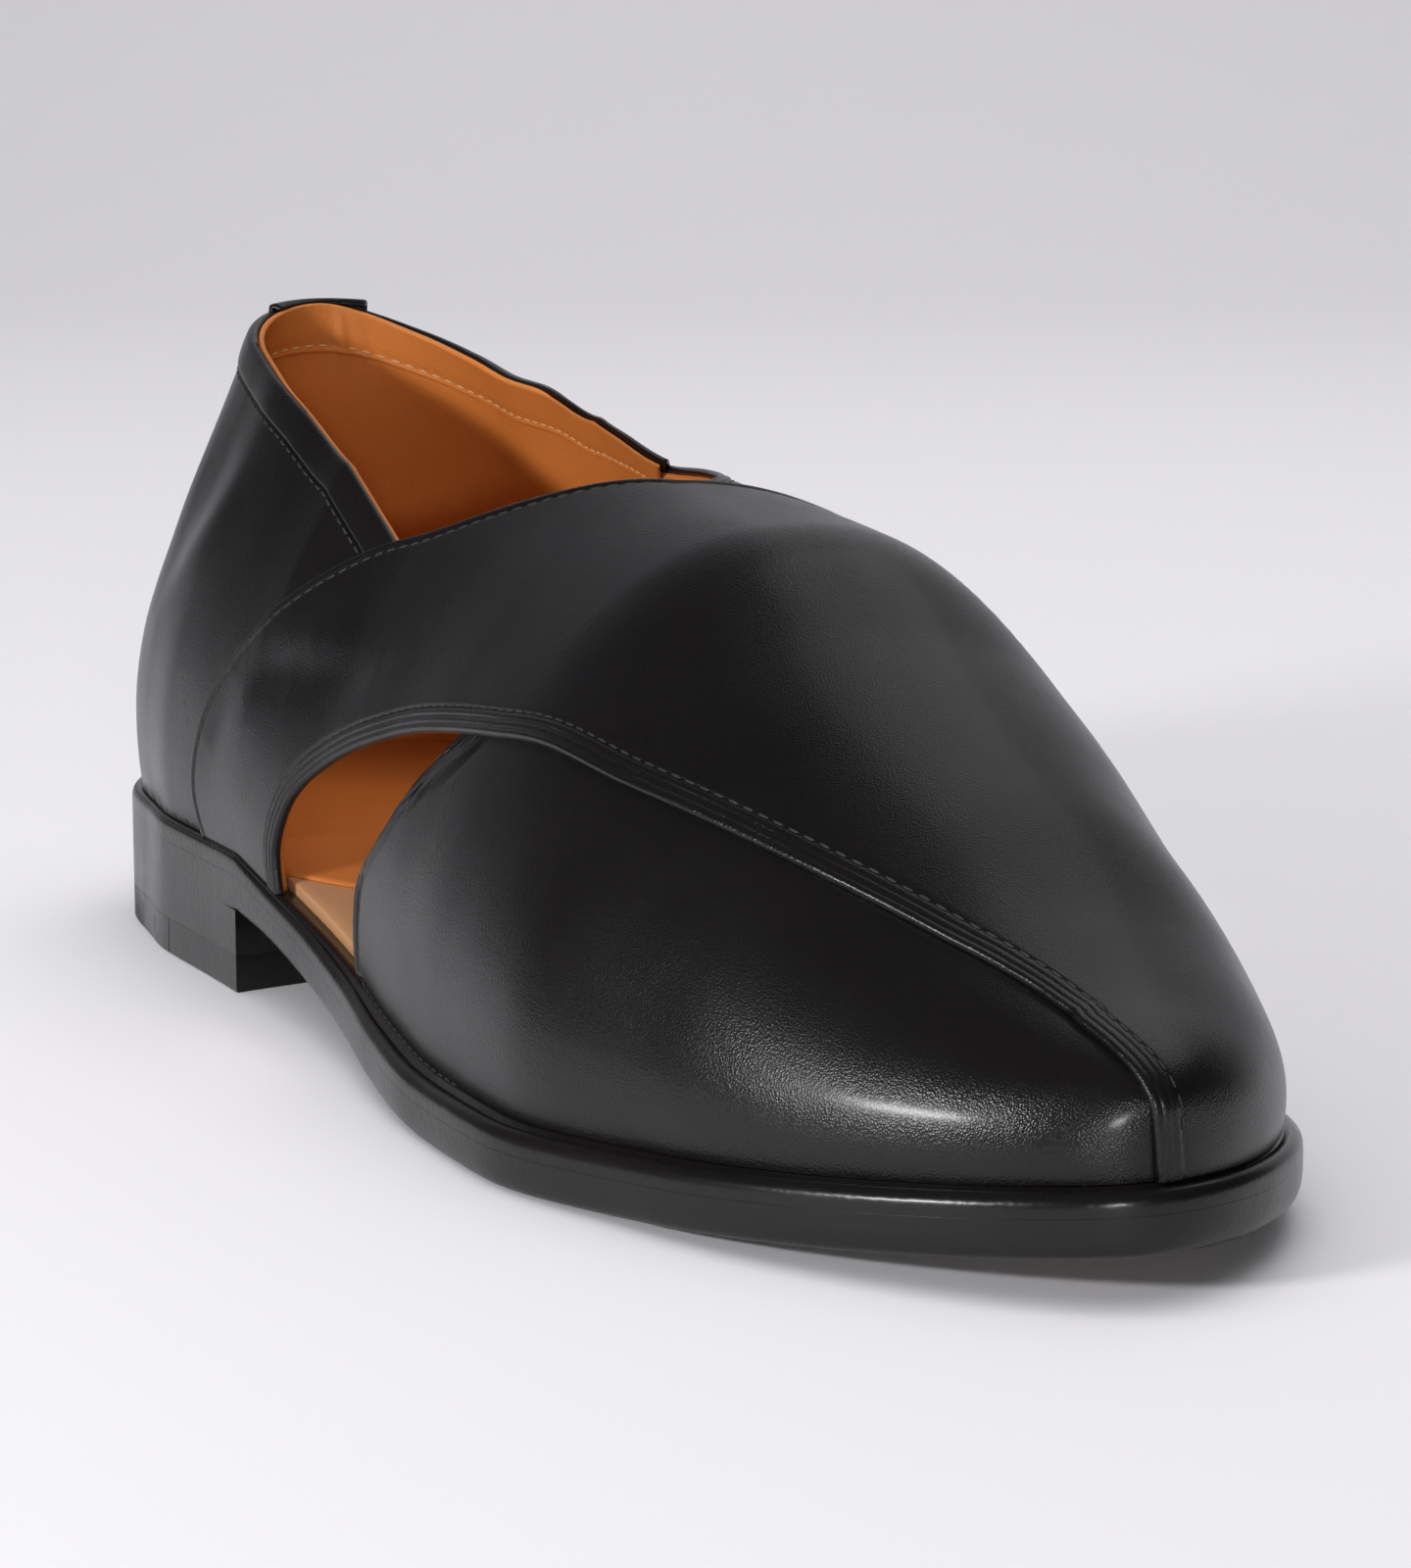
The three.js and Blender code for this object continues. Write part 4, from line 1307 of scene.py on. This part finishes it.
@dataclass
class Sole:
    """Welt, outsole, heel and insole."""

    count: int = 260

    def side_rings(self, profile: SoleProfile, heel: SoleProfile, base: object, thickness: float, levels: int) -> np.ndarray:
        """Rings of a layer's side, nearly square round the heel and rounded in front of it.

        Args:
            profile: The side's profile in front of the heel.
            heel: Its profile round the heel.
            base: Function from x to the height of its underside.
            thickness: Its thickness.
            levels: Rings.

        Returns:
            The rings, bottom first.
        """
        rise, inset = profile.points(levels)
        _, heel_inset = heel.points(levels)
        x, _ = outline_points(np.zeros(2 * self.count), self.count)
        forward = smoothstep(x, HEEL_BREAST - 6, HEEL_BREAST + 18)
        rings = []
        for share, amount, heel_amount in zip(rise, inset, heel_inset):
            px, py = outline_points(heel_amount + (amount - heel_amount) * forward, self.count)
            height = base(np.clip(px, 0, SOLE_LENGTH)) + share * thickness
            rings.append(np.stack([px, py, height], -1))
        return np.array(rings)

    def plate(self, name: str, rings: np.ndarray, material: bpy.types.Material, columns: int = 24) -> bpy.types.Object:
        """A closed plate from rings, capped by rows of quads from side to side, with its distance from the edge.

        Args:
            name: Its name.
            rings: Rings of its side, bottom first.
            material: Its material.
            columns: Points across each cap.

        Returns:
            The object.
        """
        levels, around = rings.shape[:2]
        points, quads = [rings.reshape(-1, 3)], [grid_quads(levels, around, wrap=True)]
        edges = [np.zeros(levels * around)]
        total = levels * around
        half = around // 2
        for ring_index, flip in ((0, True), (levels - 1, False)):
            ring = rings[ring_index]
            start = ring_index * around
            left = np.arange(1, half)
            right = (around - left) % around
            share = np.linspace(0, 1, columns + 2)[1:-1]
            inner = ring[left][:, None] + (ring[right] - ring[left])[:, None] * share[None, :, None]
            width = np.linalg.norm(ring[right] - ring[left], axis=1)
            index = np.concatenate([(start + left)[:, None], total + np.arange((half - 1) * columns).reshape(half - 1, columns), (start + right)[:, None]], 1)
            side_gap = np.minimum(share, 1 - share)[None, :] * width[:, None]
            end_gap = np.minimum(ring[left][:, 0], SOLE_LENGTH - ring[left][:, 0])[:, None]
            edges.append(np.minimum(side_gap, end_gap + 0 * side_gap).ravel())
            body = np.stack([index[:-1, :-1], index[:-1, 1:], index[1:, 1:], index[1:, :-1]], -1).reshape(-1, 4)
            tips = [np.stack([np.full(columns + 1, start), index[0, 1:], index[0, :-1], index[0, :-1]], -1)]
            tips.append(np.stack([np.full(columns + 1, start + half), index[-1, :-1], index[-1, 1:], index[-1, 1:]], -1))
            cap = np.concatenate([body, *tips])
            quads.append(cap if flip else cap[:, ::-1])
            points.append(inner.reshape(-1, 3))
            total += inner.shape[0] * inner.shape[1]
        return build_object(name, np.concatenate(points), np.concatenate(quads), material, {"edge": np.concatenate(edges)})

    def build_outsole(self, material: bpy.types.Material) -> bpy.types.Object:
        """Builds the outsole with a full round edge in front of the heel."""
        profile = SoleProfile(((0.0, 1.7), (0.07, 1.0), (0.2, 0.42), (0.42, 0.1), (0.7, 0.0), (1.0, 0.0)))
        square = SoleProfile(((0.0, 0.0), (1.0, 0.0)))
        rings = self.side_rings(profile, square, underside_height, OUTSOLE_THICKNESS + SEATING_GAP - 0.02, 18)
        return self.plate("outsole_leather", rings, material, 40)

    def build_welt(self, material: bpy.types.Material) -> bpy.types.Object:
        """Builds the welt, a ring with a rounded outer edge and a groove under the upper."""
        profile = SoleProfile(((0.0, 0.0), (0.4, 0.06), (0.65, 0.25), (0.85, 0.72), (0.95, 1.15), (1.0, 1.6)))
        lip = SoleProfile(((0.0, 0.0), (0.55, 0.0), (0.78, 0.08), (0.93, 0.3), (1.0, 0.7)))
        outer = self.side_rings(profile, lip, welt_base, WELT_THICKNESS, 16)
        x, _ = outline_points(np.zeros(2 * self.count), self.count)
        rings = [*outer]
        for amount, sink in ((2.1, 0.05), (2.6, 0.4), (2.95, 0.4), (3.3, -0.22), (5.5, -0.22)):
            px, py = outline_points(shelf_at(x) * amount / 3.0 + (0.3 if amount > 5 else 0.0), self.count)
            rings.append(np.stack([px, py, welt_base(np.clip(px, 0, SOLE_LENGTH)) + WELT_THICKNESS - sink], -1))
        px, py = outline_points(shelf_at(x) + WALL_INSET - SEATING_GAP, self.count)
        rings.append(np.stack([px, py, welt_base(np.clip(px, 0, SOLE_LENGTH)) + WELT_THICKNESS - 0.1], -1))
        rings.append(np.stack([px, py, welt_base(np.clip(px, 0, SOLE_LENGTH)) + 0.1], -1))
        stack = np.array(rings)
        levels, around = stack.shape[:2]
        quads = grid_quads(levels, around, wrap=True)
        last = (levels - 1) * around + np.arange(around)
        first = np.arange(around)
        close = np.stack([last, np.roll(last, -1), np.roll(first, -1), first], -1)
        return build_object("welt_edge", stack.reshape(-1, 3), np.concatenate([quads, close]), material)

    def build_insole(self, material: bpy.types.Material) -> bpy.types.Object:
        """Builds the insole board with softened edges."""
        x, _ = outline_points(np.zeros(2 * self.count), self.count)
        rings = []
        top = WELT_THICKNESS + SEATING_GAP + INSOLE_RISE
        for extra, height in ((0.3, 0.0), (0.0, 0.4), (0.0, top - 0.5), (0.15, top - 0.15), (0.5, top)):
            px, py = outline_points(shelf_at(x) + WALL_INSET + extra, self.count)
            rings.append(np.stack([px, py, welt_base(np.clip(px, 0, SOLE_LENGTH)) + height], -1))
        return self.plate("insole_board", np.array(rings), material, 30)

    def build_heel_sock(self, material: bpy.types.Material) -> bpy.types.Object:
        """Builds the tan sock over the heel and waist of the insole, with a rounded tongue in front.

        Its x runs to the tongue's tip and falls back with the square of y. Its half width is the insole's.

        Args:
            material: Its material.

        Returns:
            The object.
        """
        along = SOCK_TIP * (1 - np.cos(np.linspace(0.12, math.pi / 2, 70)))
        share = np.linspace(-1, 1, 41)
        x = np.broadcast_to(along[:, None] + 5.0, (70, 41))
        half = sole_half(x, share[None, :] > 0) - shelf_at(x) - WALL_INSET - 0.35
        y = share[None, :] * half
        x = x - SOCK_FALL * (y / 35.0) ** 2 * (along[:, None] / SOCK_TIP) ** 2
        floor = welt_base(x) + WELT_THICKNESS + SEATING_GAP + INSOLE_RISE
        top = np.stack([x, y, floor + SOCK_THICKNESS], -1)
        low = np.stack([x, y, floor - 0.05], -1)
        return build_object("heel_sock", np.concatenate([top.reshape(-1, 3), low.reshape(-1, 3)]), shell_quads(70, 41), material)

    def build_channel(self, material: bpy.types.Material) -> bpy.types.Object:
        """Builds the closed channel on the underside: a low ridge carried along a smooth closed line.

        The line is a cubic through the table's points, each with a slope from its two neighbours.

        Args:
            material: Its material.

        Returns:
            The object.
        """
        knots = np.array(CHANNEL_POINTS)
        t = np.linspace(0, 1, 24, endpoint=False)[None, :, None]
        a, b = knots[:, None], np.roll(knots, -1, 0)[:, None]
        slope_a = (b - np.roll(knots, 1, 0)[:, None]) / 2
        slope_b = (np.roll(knots, -2, 0)[:, None] - a) / 2
        line = a * (1 + 2 * t) * (1 - t) ** 2 + slope_a * t * (1 - t) ** 2 + b * t**2 * (3 - 2 * t) - slope_b * t**2 * (1 - t)
        line = line.reshape(-1, 2)
        run = unit(np.roll(line, -1, 0) - np.roll(line, 1, 0))
        across = np.stack([-run[:, 1], run[:, 0]], -1)
        rings = []
        for aside, sink in ((-0.6, -0.1), (-0.35, 0.05), (0.0, 0.1), (0.35, 0.05), (0.6, -0.1)):
            spot = line + across * aside
            rings.append(np.stack([spot[:, 0], spot[:, 1], underside_height(spot[:, 0]) - sink], -1))
        stack = np.array(rings)
        levels, around = stack.shape[:2]
        last, first = (levels - 1) * around + np.arange(around), np.arange(around)
        close = np.stack([last, np.roll(last, -1), np.roll(first, -1), first], -1)
        quads = np.concatenate([grid_quads(levels, around, wrap=True), close])
        return build_object("channel_seam", stack.reshape(-1, 3), quads, material)

    def heel_rings(self, low: float, high: float, back: float | None, round_low: float, inset: float) -> np.ndarray:
        """Rings of a heel block between two heights.

        Args:
            low: Its underside.
            high: Its top.
            back: Where its flat back line crosses the axis, or None for the round of the heel.
            round_low: Round of its lower edge.
            inset: How far its front line stands behind the breast, or behind the split for the rear piece.

        Returns:
            The rings, bottom first.
        """
        corners = heel_shape(back, inset)
        centre = corners.mean(0)
        shrink = [(low, round_low), (low + 0.3 * round_low, 0.35 * round_low), (low + round_low, 0.0), (high, 0.0)]
        rings = []
        for height, amount in shrink:
            away = corners - centre
            reach = np.linalg.norm(away, axis=1, keepdims=True)
            rings.append(np.concatenate([centre + away * (1 - amount / reach), np.full((len(corners), 1), height)], 1))
        return np.array(rings)

    def build_heel(self, stack: bpy.types.Material, leather_piece: bpy.types.Material, rubber: bpy.types.Material) -> list:
        """Builds the heel's block and its two top pieces.

        Args:
            stack: The block's material.
            leather_piece: The front top piece's material.
            rubber: The rear one's.

        Returns:
            The three objects.
        """
        made = []
        jobs = (
            ("heel_block", TOP_PIECE_HEIGHT + 0.02, HEEL_HEIGHT - 0.01, None, 0.03, 0.0, stack),
            ("heel_front_piece", 0.0, TOP_PIECE_HEIGHT, TOP_PIECE_SPLIT, 0.45, 0.0, leather_piece),
            ("heel_rear_piece", 0.0, TOP_PIECE_HEIGHT, None, 0.45, TOP_PIECE_SPLIT, rubber),
        )
        for name, low, high, back, rounding, front, material in jobs:
            rings = self.heel_rings(low, high, back, rounding, front)
            made.append(self.block(name, rings, material))
        return made

    @staticmethod
    def block(name: str, rings: np.ndarray, material: bpy.types.Material) -> bpy.types.Object:
        """A closed block from rings, capped by fans to their centres, with its distance from the edge.

        Args:
            name: Its name.
            rings: Its rings, bottom first.
            material: Its material.

        Returns:
            The object.
        """
        levels, around = rings.shape[:2]
        points, quads, edges = [rings.reshape(-1, 3)], [grid_quads(levels, around, wrap=True)], [np.zeros(levels * around)]
        total = levels * around
        for ring_index, flip in ((0, True), (levels - 1, False)):
            ring = rings[ring_index]
            shares = np.linspace(0, 1, 12)[1:-1]
            centre = ring.mean(0)
            fan = ring[None] + (centre - ring)[None] * shares[:, None, None]
            reach = np.linalg.norm(ring - centre, axis=1)
            body = grid_quads(len(shares), around, wrap=True) + total
            first = np.arange(around)
            start = ring_index * around + first
            outer = np.stack([start, np.roll(start, -1), np.roll(total + first, -1), total + first], -1)
            tip = total + len(shares) * around
            last = total + (len(shares) - 1) * around + first
            close = np.stack([last, np.roll(last, -1), np.full(around, tip), np.full(around, tip)], -1)
            cap = np.concatenate([outer, body, close])
            quads.append(cap[:, ::-1] if flip else cap)
            points += [fan.reshape(-1, 3), centre[None]]
            edges += [(shares[:, None] * reach[None]).ravel(), [float(reach.min())]]
            total = tip + 1
        return build_object(name, np.concatenate(points), np.concatenate(quads), material, {"edge": np.concatenate(edges)}, crisp=True)


def heel_shape(back: float | None, front: float) -> np.ndarray:
    """Flat shape of a heel piece as a closed loop.

    Args:
        back: Where its slanted back line crosses the axis, or None for the round of the heel.
        front: Where its slanted front line crosses the axis, or 0 for the hollowed breast.

    Returns:
        The loop's x and y.
    """
    def split(offset: float) -> object:
        return lambda y: offset - TOP_PIECE_SPLIT_SLANT * y

    half_breast = float(sole_half(np.array(HEEL_BREAST), np.array(False)))

    def breast(y: np.ndarray) -> np.ndarray:
        return HEEL_BREAST - BREAST_HOLLOW * np.maximum(0, 1 - (y / half_breast) ** 2)

    front_line = split(front) if front else breast
    back_line = split(back + SEATING_GAP) if back else None
    sides = []
    for medial in (False, True):
        sign = 1.0 if medial else -1.0
        ends = []
        for line in (back_line, front_line):
            x = 0.0 if line is None else float(line(np.array(0.0)))
            for _ in range(8):
                x = 0.0 if line is None else float(line(sign * sole_half(np.array(x), np.array(medial))))
            ends.append(x)
        share = np.linspace(0, 1, 60) if back else 1 - np.cos(np.linspace(0, math.pi / 2, 90))
        x = ends[0] + (ends[1] - ends[0]) * share
        sides.append(np.stack([x, sign * sole_half(x, np.full(x.shape, medial))], -1))
    lateral, medial_side = sides[0], sides[1][::-1]
    y = np.linspace(lateral[-1, 1], medial_side[0, 1], 24)[1:-1]
    loop = [lateral, np.stack([front_line(y), y], -1), medial_side if back else medial_side[:-1]]
    if back_line is not None:
        y = np.linspace(medial_side[-1, 1], lateral[0, 1], 24)[1:-1]
        loop.append(np.stack([back_line(y), y], -1))
    return np.concatenate(loop)


@dataclass(frozen=True)
class Lamp:
    """A soft rectangular light: where it hangs, what it aims at, its sides and its brightness."""

    name: str
    place: tuple[float, float, float]
    aim: tuple[float, float, float]
    size: tuple[float, float]
    brightness: float
    seen_in_gloss: bool = True

    def build(self) -> None:
        """Hangs the light. Its power is four times its area times its brightness."""
        data = bpy.data.lights.new(self.name, "AREA")
        data.shape, data.size, data.size_y = "RECTANGLE", self.size[0], self.size[1]
        data.energy = 4 * self.size[0] * self.size[1] * self.brightness
        light = bpy.data.objects.new(self.name, data)
        light.location = self.place
        light.rotation_mode = "QUATERNION"
        light.rotation_quaternion = (Vector(self.aim) - Vector(self.place)).to_track_quat("-Z", "Y")
        light.visible_glossy = self.seen_in_gloss
        bpy.context.scene.collection.objects.link(light)


LAMPS = (
    Lamp("fill", (0.0, 0.0, 2.2), (0.0, 0.0, 0.0), (3.2, 3.2), 0.82, False),
    Lamp("front_fill", (1.3, -1.3, 1.2), (0.0, 0.0, 0.1), (1.2, 1.2), 0.45, False),
    Lamp("backdrop", (-0.3, 0.2, 1.9), (-1.7, 1.2, 0.7), (1.5, 1.5), 1.75, False),
    Lamp("top", (-0.33, 0.78, 1.15), (0.06, 0.0, 0.06), (0.7, 0.7), 0.62),
    Lamp("side_strip", (0.22, -1.00, 0.37), (0.12, -0.02, 0.02), (0.22, 0.07), 125.0),
    Lamp("front_strip", (1.18, -0.52, 0.23), (0.14, 0.0, 0.02), (0.16, 0.07), 85.0),
)


@dataclass(frozen=True)
class Studio:
    """Camera, lights, floor and backdrop, in metres in the CAD frame."""

    camera: tuple[float, float, float] = (0.6196, -0.3125, 0.1714)
    target: tuple[float, float, float] = (0.045, -0.0117, 0.0494)
    lens: float = 108.0
    floor_depth: tuple[float, float] = (-3.0, 1.3)
    floor_width: float = 5.0
    sweep_radius: float = 1.4
    sweep_height: float = 1.6

    def build(self) -> None:
        """Sets up the stage."""
        scene = bpy.context.scene
        data = bpy.data.cameras.new("camera")
        data.sensor_fit, data.sensor_height, data.sensor_width = "AUTO", 36.0, 36.0
        data.lens = self.lens
        camera = bpy.data.objects.new("camera", data)
        camera.location = self.camera
        camera.rotation_mode = "QUATERNION"
        camera.rotation_quaternion = (Vector(self.target) - Vector(self.camera)).to_track_quat("-Z", "Y")
        scene.collection.objects.link(camera)
        scene.camera = camera
        scene.view_settings.view_transform = "Standard"
        self.floor()
        self.world()
        for lamp in LAMPS:
            lamp.build()

    def floor(self) -> None:
        """Lays the pale floor, which curves up behind the shoe: flat, then a quarter circle, then upright."""
        flat = np.linspace(*self.floor_depth, 12)
        bend = np.linspace(0, math.pi / 2, 24)[1:]
        run = np.concatenate([flat, flat[-1] + self.sweep_radius * np.sin(bend), [flat[-1] + self.sweep_radius]])
        rise = np.concatenate([0 * flat, self.sweep_radius * (1 - np.cos(bend)), [self.sweep_radius + self.sweep_height]])
        ahead = np.array(self.target[:2]) - np.array(self.camera[:2])
        ahead /= np.linalg.norm(ahead)
        aside = np.array([-ahead[1], ahead[0]])
        across = np.linspace(-0.5, 0.5, 9) * self.floor_width
        flat_points = run[:, None, None] * ahead + across[None, :, None] * aside
        points = np.concatenate([flat_points, np.broadcast_to(rise[:, None, None], (*flat_points.shape[:2], 1))], -1)
        mesh = bpy.data.meshes.new("floor")
        mesh.from_pydata(points.reshape(-1, 3).tolist(), [], grid_quads(len(run), len(across))[:, ::-1].tolist())
        mesh.polygons.foreach_set("use_smooth", np.full(len(mesh.polygons), True))
        shader = Shader("studio_floor")
        shader.bsdf.inputs["Base Color"].default_value = (0.86, 0.845, 0.875, 1.0)
        shader.bsdf.inputs["Roughness"].default_value = 0.7
        shader.bsdf.inputs["Specular IOR Level"].default_value = 0.2
        mesh.materials.append(shader.material)
        floor = bpy.data.objects.new("floor", mesh)
        bpy.context.scene.collection.objects.link(floor)

    def world(self) -> None:
        """Lights the room with a dim pale sky."""
        world = bpy.data.worlds.new("studio")
        world.use_nodes = True
        background = world.node_tree.nodes["Background"]
        background.inputs["Color"].default_value = (0.90, 0.89, 0.93, 1.0)
        background.inputs["Strength"].default_value = 0.05
        bpy.context.scene.world = world


# Creases of the top strap and of the quarter, placed by station and turn
STRAP_CREASES = (
    Crease((0.285, -0.76), (0.352, -0.66), 4.5, 0.75),
    Crease((0.300, -0.70), (0.390, -0.58), 5.0, -0.6),
    Crease((0.335, -0.72), (0.425, -0.62), 4.5, 0.7),
    Crease((0.250, -0.86), (0.275, -0.76), 4.0, 0.5),
)
QUARTER_CREASES = (
    Crease((0.150, -0.52), (0.085, -0.74), 6.0, 0.8),
    Crease((0.190, -0.56), (0.120, -0.76), 5.0, -0.6),
)
LINING_PUCKERS = (
    Crease((0.004, 0.405), (0.004, 0.500), 1.3, 0.45),
    Crease((0.014, 0.410), (0.018, 0.490), 1.1, -0.3),
)


def build_upper() -> None:
    """Builds the upper: quarter, back strip, both panels with their linings, and the stitches."""
    calf, lining = leather(CALF).material, leather(LINING).material
    quarter = Quarter(creases=QUARTER_CREASES, puckers=LINING_PUCKERS)
    settle(quarter.build_leather(calf), Slot.UPPER, "upper")
    settle(quarter.build_lining(lining), Slot.INSOLE)
    black = Stitches("upper_stitches", 1.9, 2.7, 0.42)
    tan = Stitches("lining_stitches", 1.7, 2.6, 0.40)
    settle(quarter.build_back_strip(calf, black), Slot.UPPER)
    front = EdgeRelief(0.62, 3, 1.25, 0.34, (4.05,))
    rear = EdgeRelief(0.55, 1, 1.2, 0.12, (1.7,), 0.22, 0.16)
    plain = EdgeRelief(0.4, 0, 1.0, 0.0)
    top = Panel("top_panel_leather", False, 0.0, 1.3, front, rear, STRAP_CREASES)
    under_rear = EdgeRelief(0.42, 2, 0.95, 0.24, (2.4,), 0.22, 0.16)
    under = Panel("under_panel_leather", True, 1.1, 0.9, EdgeRelief(0.42, 3, 1.15, 0.2, (3.7,)), under_rear, front_fade=(0.46, 0.52, 0.0))
    for panel in (top, under):
        settle(panel.build(calf), Slot.UPPER)
        black.add(*panel.line("rear", panel.rear.grooves[0], 0.0, PANEL_FOOT_ROW / len(PANEL_ROWS)))
        black.add(*panel.line("front", panel.front.grooves[0] + 0.1, 0.0, 0.5 if panel.under else 0.95))
    settle(Panel("top_panel_lining", False, 1.3, 1.1, plain, plain, inset=(1.5, 1.4), rows=150).build(lining), Slot.INSOLE)
    settle(Panel("under_panel_lining", True, 2.0, 0.7, plain, plain, inset=(1.2, 1.4), rows=150).build(lining), Slot.INSOLE)
    black.add(*quarter.line(quarter.binding_width + 0.75, quarter.outer_depth))
    tan.add(*quarter.line(7.0, quarter.inner_depth + 0.23, flip=True))
    settle(black.build(leather(THREAD).material), Slot.UPPER)
    settle(tan.build(leather(TAN_THREAD).material), Slot.INSOLE)


def build_sole() -> None:
    """Builds the welt, the outsole, the heel and the insole."""
    sole = Sole()
    edge = leather(EDGE).material
    tan, fibre = (0.42, 0.235, 0.13), (0.30, 0.155, 0.08)
    bottom = sole_bottom("sole_bottom", 8.0, 34.0, tan, fibre, 0.42).material
    top_piece = sole_bottom("heel_leather", 2.0, 15.0, tan, fibre, 0.45).material
    rubber = sole_bottom("heel_rubber", 0.5, 2.0, (0.012, 0.012, 0.012), (0.02, 0.019, 0.019), 0.65).material
    settle(sole.build_welt(edge), Slot.EDGE, "welt")
    settle(sole.build_outsole(bottom), Slot.SOLE, "outsole")
    settle(sole.build_insole(leather(INSOLE).material), Slot.INSOLE, "insole")
    settle(sole.build_heel_sock(leather(replace(LINING, name="heel_sock")).material), Slot.INSOLE)
    settle(sole.build_channel(leather(replace(EDGE, name="channel")).material), Slot.SOLE)
    block, front, rear = sole.build_heel(edge, top_piece, rubber)
    settle(block, Slot.EDGE, "heel_stack")
    settle(front, Slot.SOLE, "heel_leather_piece")
    settle(rear, Slot.RUBBER, "heel_rubber_piece")


def main() -> None:
    """Builds the whole scene in order."""
    logging.basicConfig(level=logging.INFO, format="%(message)s")
    for piece in list(bpy.data.objects):
        bpy.data.objects.remove(piece)
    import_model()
    build_upper()
    build_sole()
    Studio().build()


if __name__ == "__main__":
    main()
